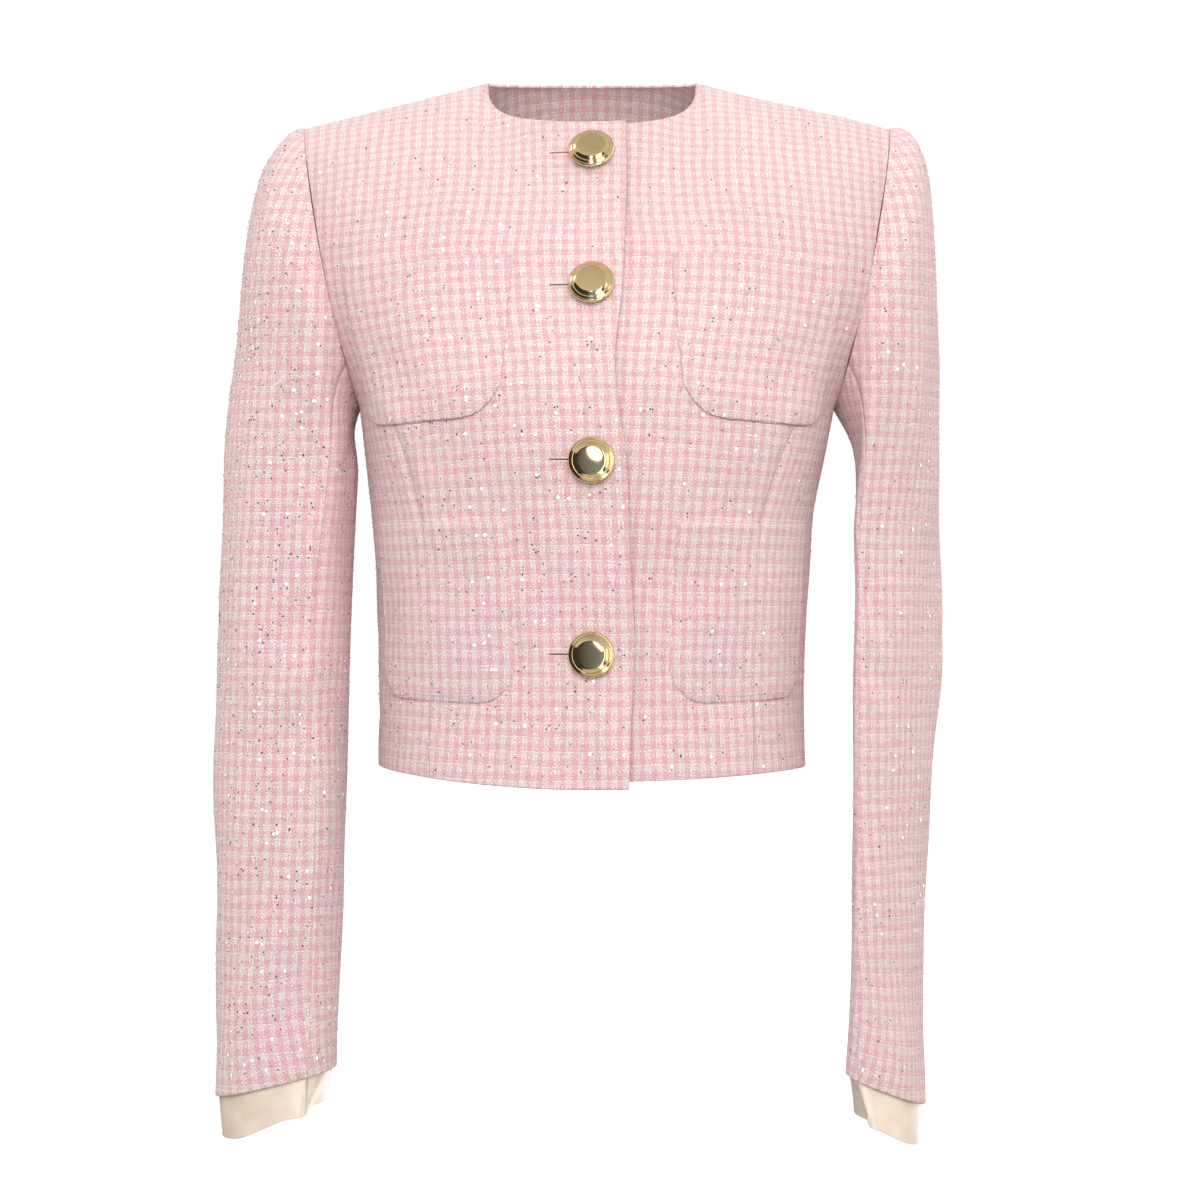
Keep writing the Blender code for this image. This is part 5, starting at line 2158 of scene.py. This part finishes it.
class Recipe:
    """The nodes of a material or of the surroundings, added by short calls."""

    def __init__(self, owner: Material | bpy.types.World) -> None:
        """Starts the owner's nodes."""
        owner.use_nodes = True
        self.owner, self.tree = owner, owner.node_tree

    def put(self, socket: NodeSocket, value: object) -> None:
        """Links a socket to another one, or sets its plain value.

        Args:
            socket: The socket.
            value: A socket or a plain value.
        """
        if isinstance(value, NodeSocket):
            self.tree.links.new(value, socket)
        else:
            socket.default_value = value

    def node(self, kind: str, inputs: dict, **settings: object) -> bpy.types.Node:
        """Adds a node.

        Args:
            kind: The node's type, without its prefix.
            inputs: Values or sockets by the input's name or number.
            settings: The node's own settings.

        Returns:
            The node.
        """
        made = self.tree.nodes.new(f"ShaderNode{kind}")
        for key, value in settings.items():
            setattr(made, key, value)
        for key, value in inputs.items():
            self.put(made.inputs[key], value)
        return made

    def math(self, operation: str, *values: object) -> NodeSocket:
        """The result of one sum."""
        return self.node("Math", dict(enumerate(values)), operation=operation).outputs[0]

    def shift(self, operation: str, first: object, second: object) -> NodeSocket:
        """The result of one sum of vectors."""
        return self.node("VectorMath", {0: first, 1: second}, operation=operation).outputs[0]

    def scaled(self, vector: object, by: float) -> NodeSocket:
        """A vector times a number."""
        return self.node("VectorMath", {0: vector, "Scale": by}, operation="SCALE").outputs[0]

    def noise(self, place: object, scale: float, detail: float = 1.0, output: str = "Fac") -> NodeSocket:
        """Soft noise at a place; its scale is in waves a metre."""
        return self.node("TexNoise", {"Vector": place, "Scale": scale, "Detail": detail}).outputs[output]

    def shaded(self, colour: object, by: object) -> NodeSocket:
        """A colour made darker or lighter by a number."""
        grey = self.node("CombineColor", {0: by, 1: by, 2: by}).outputs[0]
        return self.mix(1.0, colour, grey, "MULTIPLY")

    def mix(self, share: object, first: object, second: object, blend: str = "MIX") -> NodeSocket:
        """A mix of two colours."""
        made = self.node("Mix", {0: share, 6: first, 7: second}, data_type="RGBA", blend_type=blend)
        return made.outputs[2]

    def level(self, value: object, low: float, high: float, to_low: float, to_high: float) -> NodeSocket:
        """A value taken from one range to another and held there."""
        inputs = {0: value, 1: low, 2: high, 3: to_low, 4: to_high}
        return self.node("MapRange", inputs).outputs[0]

    def finish(self, colour: object, bump: object = None, depth: float = 0.0, **fixed: object) -> Material:
        """Sets the shader up.

        Args:
            colour: The base colour.
            bump: The height that the surface takes, if any.
            depth: The greatest height in metres.
            fixed: Plain values of the shader's other inputs, with _ for a space.

        Returns:
            The material.
        """
        inputs = {"Base_Color": colour, **fixed}
        if bump is not None:
            relief = {"Height": bump, "Distance": depth, "Strength": 1.0}
            inputs["Normal"] = self.node("Bump", relief).outputs[0]
        for key, value in inputs.items():
            self.put(self.tree.nodes["Principled BSDF"].inputs[key.replace("_", " ")], value)
        return self.owner


def recipe(name: str) -> Recipe:
    """The recipe of a new material."""
    return Recipe(bpy.data.materials.new(name))


@dataclass(frozen=True)
class TweedFinish:
    """A plain weave of pink and cream yarns in stripes both ways, so many to a check each way."""

    pink: Shade = (241, 192, 196)
    blush: Shade = (250, 223, 221)
    white: Shade = (252, 236, 232)
    yarns: tuple[int, int] = (6, 8)
    relief: float = 0.00045
    painted_crevice_shade: float = 0.84
    warp_share: float = 0.12

    def material(self) -> Material:
        """Makes the tweed's material.

        Returns:
            The material.
        """
        book = recipe("pink_tweed_cloth")
        grain = book.node("UVMap", {}, uv_map=GRAIN_LAYER).outputs["UV"]
        slow = book.shift("SUBTRACT", book.noise(grain, 42.0, 2.0, "Color"), (0.5, 0.5, 0.5))
        quick = book.shift("SUBTRACT", book.noise(grain, 620.0, 2.0, "Color"), (0.5, 0.5, 0.5))
        place = book.shift("ADD", grain, book.scaled(slow, 0.0024))
        place = book.shift("ADD", place, book.scaled(quick, 0.0021))
        apart = book.node("SeparateXYZ", {0: place})
        warp = book.math("MULTIPLY", apart.outputs[0], self.yarns[0] / CHECK[0])
        weft = book.math("MULTIPLY", apart.outputs[1], self.yarns[1] / CHECK[1])
        warp_number, weft_number = book.math("FLOOR", warp), book.math("FLOOR", weft)
        over = book.math("FRACT", book.math("MULTIPLY", book.math("ADD", warp_number, weft_number), 0.5))
        over = book.math("LESS_THAN", over, 0.25)
        warp_colour = self.yarn(book, warp_number, weft, self.yarns[0])
        weft_colour = self.yarn(book, weft_number, warp, self.yarns[1])
        weft_colour = book.mix(self.warp_share, weft_colour, warp_colour)
        colour = book.mix(over, weft_colour, warp_colour)
        height = self.height(book, warp, weft, over)
        fibre = book.noise(place, 2600.0, 3.0)
        height = book.math("ADD", book.math("MULTIPLY", height, 0.72), book.math("MULTIPLY", fibre, 0.28))
        # Painted shade: the colour darkens where the yarns dip between each other and lightens a little on
        # their crowns, with some random fibre tone mixed in.
        colour = book.shaded(colour, book.level(height, 0.16, 0.62, self.painted_crevice_shade, 1.03))
        cast = book.level(book.noise(grain, 7.0, 1.0), 0.3, 0.7, 0.0, 1.0)
        tone = book.mix(cast, (1.0, 0.98, 0.99, 1.0), (1.0, 1.0, 0.985, 1.0))
        colour = book.mix(1.0, colour, tone, "MULTIPLY")
        return book.finish(
            colour,
            height,
            self.relief,
            Roughness=0.92,
            Sheen_Weight=0.50,
            Sheen_Roughness=0.45,
            Sheen_Tint=(1.0, 0.92, 0.84, 1.0),
            Specular_IOR_Level=0.25,
        )

    def yarn(self, book: Recipe, number: object, along: object, repeat: int) -> NodeSocket:
        """The colour of the yarns that run one way.

        Args:
            book: The material.
            number: Each yarn's number.
            along: The place along the yarn, in yarns.
            repeat: How many yarns the check has; it also sets this way's random tones apart.

        Returns:
            The colour.
        """
        stripe = book.math("FRACT", book.math("DIVIDE", book.math("ADD", number, 0.5), float(repeat)))
        is_pink = book.math("LESS_THAN", stripe, 0.5)
        is_blush = book.math("LESS_THAN", book.math("ABSOLUTE", book.math("SUBTRACT", stripe, 0.75)), 0.07)
        base = book.mix(is_pink, linear(self.white), linear(self.pink))
        base = book.mix(is_blush, base, linear(self.blush))
        slub = book.node("CombineXYZ", {0: number, 1: book.math("MULTIPLY", along, 0.22), 2: 1.3 * repeat})
        tone = book.noise(slub.outputs[0], 1.0, 2.0)
        return book.shaded(base, book.level(tone, 0.3, 0.7, 0.86, 1.11))

    def height(self, book: Recipe, warp: object, weft: object, over: object) -> NodeSocket:
        """The height of the yarns, round across and dipping where they go under.

        Args:
            book: The material.
            warp: The place across, in yarns.
            weft: The place along, in yarns.
            over: Whether the warp lies on top.

        Returns:
            The height.
        """
        crowns = []
        for value in (warp, weft):
            half = book.math("SUBTRACT", book.math("MULTIPLY", book.math("FRACT", value), 2.0), 1.0)
            crowns.append(book.math("SUBTRACT", 1.0, book.math("MULTIPLY", half, half)))
        warp_up = book.math("MULTIPLY", crowns[0], book.math("POWER", crowns[1], 0.5))
        weft_up = book.math("MULTIPLY", crowns[1], book.math("POWER", crowns[0], 0.5))
        return book.node("Mix", {0: over, 2: weft_up, 3: warp_up}, data_type="FLOAT").outputs[0]


@dataclass(frozen=True)
class SatinFinish:
    """Smooth cream satin with faint threads and soft ripples."""

    colour: Shade = (236, 215, 194)
    pale: Shade = (246, 230, 212)

    def material(self) -> Material:
        """Makes the satin's material.

        Returns:
            The material.
        """
        book = recipe("cream_satin_cloth")
        grain = book.node("UVMap", {}, uv_map=GRAIN_LAYER).outputs["UV"]
        patch = book.noise(grain, 55.0, 1.0)
        drawn_out = book.node("Mapping", {0: grain, "Scale": (1.0, 0.12, 1.0)}).outputs[0]
        threads = book.noise(drawn_out, 1500.0, 2.0)
        colour = book.mix(book.level(patch, 0.35, 0.65, 0.0, 1.0), linear(self.colour), linear(self.pale))
        rough = book.level(threads, 0.3, 0.7, 0.30, 0.38)
        fine = book.math("MULTIPLY", threads, 0.04)
        height = book.math("ADD", fine, book.math("MULTIPLY", patch, 0.96))
        return book.finish(
            colour,
            height,
            0.00035,
            Roughness=rough,
            Metallic=0.05,
            Specular_IOR_Level=0.8,
            Sheen_Weight=0.20,
            Sheen_Roughness=0.30,
            Sheen_Tint=(1.0, 0.96, 0.90, 1.0),
        )


@dataclass(frozen=True)
class GoldFinish:
    """Polished pale gold with the finest of wear."""

    colour: Shade = (232, 207, 158)

    def material(self) -> Material:
        """Makes the metal's material.

        Returns:
            The material.
        """
        book = recipe("gold_metal_polished")
        place = book.node("TexCoord", {}).outputs["Object"]
        rub = book.noise(place, 700.0, 4.0)
        stain = book.noise(place, 160.0, 2.0)
        stained = book.level(stain, 0.35, 0.7, 0.0, 0.35)
        colour = book.mix(stained, linear(self.colour), linear((212, 184, 134)))
        rough = book.level(rub, 0.35, 0.75, 0.05, 0.09)
        return book.finish(colour, Roughness=rough, Metallic=1.0)


@dataclass(frozen=True)
class TwoToneFinish:
    """A plain finish whose colour drifts between two tones, over a span of soft noise."""

    name: str
    tones: tuple[Shade, Shade]
    waves: float
    span: Pair
    surface: dict[str, float]

    def material(self) -> Material:
        """Makes the material.

        Returns:
            The material.
        """
        book = recipe(self.name)
        tint = book.noise(book.node("TexCoord", {}).outputs["Object"], self.waves)
        first, second = (linear(tone) for tone in self.tones)
        return book.finish(book.mix(book.level(tint, *self.span, 0.0, 1.0), first, second), **self.surface)


# White sequins with a glossy face; their near-white colour is partly a painted highlight, standing for the
# glints of clear sequins
SEQUIN = TwoToneFinish(
    "white_sequin_painted_glint",
    ((252, 248, 250), (246, 250, 252)),
    130.0,
    (0.3, 0.7),
    {"Roughness": 0.07, "IOR": 2.0, "Specular_IOR_Level": 1.0},
)
# Dark specks of painted shade, standing for the shadows in clear sequins' holes.
SHADE_SPECK = TwoToneFinish(
    "painted_shade_speck", ((42, 35, 44), (98, 80, 90)), 90.0, (0.4, 0.6), {"Roughness": 0.45}
)


@dataclass(frozen=True)
class ThreadFinish:
    """Pale pink twisted buttonhole thread."""

    def material(self) -> Material:
        """Makes the thread's material.

        Returns:
            The material.
        """
        book = recipe("pink_thread")
        place = book.node("TexCoord", {}).outputs["Object"]
        wave = {"Vector": place, "Scale": 900.0, "Distortion": 2.0}
        twist = book.node("TexWave", wave, bands_direction="DIAGONAL")
        colour = book.mix(twist.outputs["Fac"], linear((240, 204, 202)), linear((253, 234, 228)))
        return book.finish(colour, twist.outputs["Fac"], 0.00008, Roughness=0.6, Sheen_Weight=0.3)


@dataclass(frozen=True)
class StageFinish:
    """A plain pale floor."""

    def material(self) -> Material:
        """Makes the floor's material.

        Returns:
            The material.
        """
        book = recipe("pale_floor")
        place = book.node("TexCoord", {}).outputs["Object"]
        speck = book.noise(place, 30.0, 2.0)
        colour = book.mix(speck, (0.985, 0.985, 0.982, 1.0), (0.995, 0.995, 0.992, 1.0))
        white = (1.0, 1.0, 1.0, 1.0)
        return book.finish(colour, Roughness=0.9, Emission_Color=white, Emission_Strength=0.32)


# ---- the studio


@dataclass(frozen=True)
class SoftBox:
    """One large soft light."""

    name: str
    place: Triple
    aim: Triple
    size: Pair
    power: float
    colour: Triple = (1.0, 1.0, 1.0)
    mirrored: bool = True
    shape: str = "RECTANGLE"


@dataclass
class Studio:
    """The pale floor, the soft lights, the white surroundings and the camera."""

    camera_place: Triple = (0.0052, -2.8, -0.33735)
    lens: float = 129.2
    sensor: float = 36.0
    floor_level: float = -0.80
    floor_size: float = 16.0
    around: Stops = (
        (-1.00, (0.18, 0.18, 0.18)),
        (0.00, (0.72, 0.72, 0.72)),
        (1.00, (0.92, 0.92, 0.92)),
    )
    backdrop: float = 1.02
    beside: Stops = (
        (-1.00, (0.05, 0.045, 0.045)),
        (-0.40, (0.06, 0.06, 0.06)),
        (-0.10, (0.30, 0.36, 0.50)),
        (0.20, (0.28, 0.34, 0.47)),
        (0.27, (3.00, 2.90, 2.80)),
        (0.58, (3.00, 2.90, 2.80)),
        (0.65, (0.14, 0.12, 0.10)),
        (0.75, (0.18, 0.15, 0.12)),
        (0.82, (1.60, 1.52, 1.40)),
    )
    above: Stops = (
        (-0.86, (1.0, 1.0, 1.0)),
        (-0.76, (0.0, 0.0, 0.0)),
        (0.34, (0.0, 0.0, 0.0)),
        (0.42, (1.0, 1.0, 1.0)),
    )
    upper: Stops = (
        (-0.60, (0.74, 0.66, 0.56)),
        (0.30, (0.76, 0.72, 0.62)),
        (0.70, (0.76, 0.74, 0.70)),
        (0.98, (0.54, 0.52, 0.49)),
    )
    lights: tuple[SoftBox, ...] = (
        SoftBox("key", (0.08, -1.35, 0.29), (0.0, 0.0, -0.20), (1.1, 0.7), 12.6, mirrored=False),
        SoftBox("window", (-0.31, -3.0, 0.12), (0.0, 0.0, -0.25), (0.66, 0.86), 4.2, shape="ELLIPSE"),
        SoftBox("edge_left", (-1.9, 0.6, 0.3), (-0.2, 0.0, -0.35), (0.8, 2.0), 12.0, (1.0, 0.88, 0.76)),
        SoftBox("edge_right", (1.9, 0.6, 0.3), (0.2, 0.0, -0.35), (0.8, 2.0), 12.0, (1.0, 0.88, 0.76)),
    )

    def build(self) -> None:
        """Sets the whole studio up."""
        self.floor()
        for light in self.lights:
            self.light(light)
        self.surroundings()
        self.camera()
        view = bpy.context.scene.view_settings
        view.view_transform = "Standard"
        view.look = "None"

    def floor(self) -> None:
        """Lays the floor."""
        mesh = bmesh.new()
        bmesh.ops.create_circle(mesh, cap_ends=True, segments=96, radius=self.floor_size)
        bmesh.ops.translate(mesh, vec=(0.0, 0.0, self.floor_level), verts=mesh.verts)
        item = solid("studio_floor", mesh)
        item.data.materials.append(StageFinish().material())
        item.visible_glossy = item.visible_diffuse = False
        item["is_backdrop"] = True

    def light(self, box: SoftBox) -> None:
        """Hangs one soft light and aims it.

        Args:
            box: The light.
        """
        data = bpy.data.lights.new(box.name, "AREA")
        data.shape = box.shape
        data.size, data.size_y = box.size
        data.energy = box.power
        data.color = box.colour
        item = linked(box.name, data)
        item.visible_glossy = box.mirrored
        item.location = box.place
        way = item.location - item.location.__class__(box.aim)
        item.rotation_mode = "QUATERNION"
        item.rotation_quaternion = way.to_track_quat("Z", "Y")

    def surroundings(self) -> None:
        """Makes the white room, with the dark and bright places that polished metal mirrors."""
        world = bpy.data.worlds.new("white_room")
        bpy.context.scene.world = world
        book = Recipe(world)
        seen_by = book.node("LightPath", {}).outputs
        way = book.node("SeparateXYZ", {0: book.node("TexCoord", {}).outputs["Generated"]}).outputs

        def ramp(axis: int, stops: Stops) -> NodeSocket:
            """Colours by how far a direction points along one axis.

            Args:
                axis: The axis.
                stops: A place from -1 to 1 and a colour for each stop.

            Returns:
                The colour.
            """
            share = book.node("MapRange", {0: way[axis], 1: -1.0}).outputs[0]
            made = book.node("ValToRGB", {0: share})
            elements = made.color_ramp.elements
            while len(elements) < len(stops):
                elements.new(0.5)
            for element, (place, colour) in zip(elements, stops):
                element.position = (place + 1) / 2
                element.color = (*colour, 1.0)
            return made.outputs[0]

        mirrored = book.mix(ramp(2, self.above), ramp(0, self.beside), ramp(2, self.upper))
        unseen = book.mix(seen_by["Is Glossy Ray"], ramp(2, self.around), mirrored)
        shown = book.mix(seen_by["Is Camera Ray"], unseen, (*[self.backdrop] * 3, 1.0))
        book.put(book.tree.nodes["Background"].inputs[0], shown)

    def camera(self) -> None:
        """Places the camera level, in front of the jacket."""
        data = bpy.data.cameras.new("front_camera")
        data.lens = self.lens
        data.sensor_width = self.sensor
        item = linked("front_camera", data)
        item.location = self.camera_place
        item.rotation_euler = (math.pi / 2, 0.0, 0.0)
        bpy.context.scene.camera = item


# ---- the jacket


@dataclass
class Finishes:
    """The finishes of the jacket's pieces, each made once."""

    tweed: Material = field(default_factory=TweedFinish().material)
    satin: Material = field(default_factory=SatinFinish().material)
    metal: Material = field(default_factory=GoldFinish().material)
    sequin: Material = field(default_factory=SEQUIN.material)
    thread: Material = field(default_factory=ThreadFinish().material)
    shade_speck: Material = field(default_factory=SHADE_SPECK.material)


@dataclass
class Jacket:
    """The whole jacket, built piece by piece from its cut."""

    finishes: Finishes = field(default_factory=Finishes)

    def build(self) -> None:
        """Builds the body, the pockets, the closing and the sleeves."""
        made = self.finishes
        fronts = {side: Front(side, FRONT_CREASES[side]) for side in Side}
        walls = {side: front.build(made.tweed) for side, front in fronts.items()}
        back = Back().build(made.tweed)
        self.sequins("back", back, 101, edge_cells(back))
        for number, (side, front) in enumerate(fronts.items()):
            self.sequins(f"front_{side.value}", front.panel, 110 + number, pocket_cells(front))
            for pocket in POCKETS:
                panel = PatchPocket(pocket, front).build(made.tweed)
                self.sequins(f"pocket_{pocket.name}_{side.value}", panel, 120 + number, edge_cells(panel))
        right, left = fronts[Side.RIGHT], fronts[Side.LEFT]
        ButtonRow().build(walls[Side.RIGHT], right, left, made.metal, made.thread)
        for number, cut in enumerate(SLEEVES):
            for part, panel in zip(("top", "under"), Sleeve(cut).build(made.tweed, made.satin)):
                self.sequins(f"sleeve_{part}_{cut.side.value}", panel, 130 + number, edge_cells(panel))

    def sequins(self, place: str, panel: Panel, seed: int, keep_out: Grid) -> None:
        """Sews sequins on one cloth piece, thicker on the right of the body than on the left.

        Args:
            place: The cloth piece's name.
            panel: Its panel.
            seed: Picks the places.
            keep_out: The cells where nothing is sewn.
        """
        shares = {"sleeve_top_right": 1.8, "sleeve_under_right": 1.3, "front_right": 1.1, "back": 0.8}
        share = shares.get(place, 0.85 if place.endswith("right") else 0.65)
        scatter = SequinScatter(f"sequins_{place}", panel, seed, SequinScatter.per_square_metre * share)
        scatter.thin_most = 0.70 if place.startswith("front") else 0.0
        scatter.build(keep_out, self.finishes.sequin, self.finishes.shade_speck)


def corners() -> list[list[float]]:
    """The lowest and highest corners of what shows, as plain numbers."""
    return [list(corner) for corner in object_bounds()]


def main() -> None:
    """Loads the frame, dresses the jacket and sets the studio up."""
    logging.basicConfig(level=logging.INFO, format="%(name)s %(message)s")
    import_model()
    packed = corners()
    Studio().build()
    Jacket().build()
    shown = corners()
    for axis, letter in enumerate("xyz"):
        low, high = (shown[end][axis] - packed[end][axis] for end in range(2))
        LOG.info("%s: %.4f and %.4f", letter, low, high)


if __name__ == "__main__":
    main()
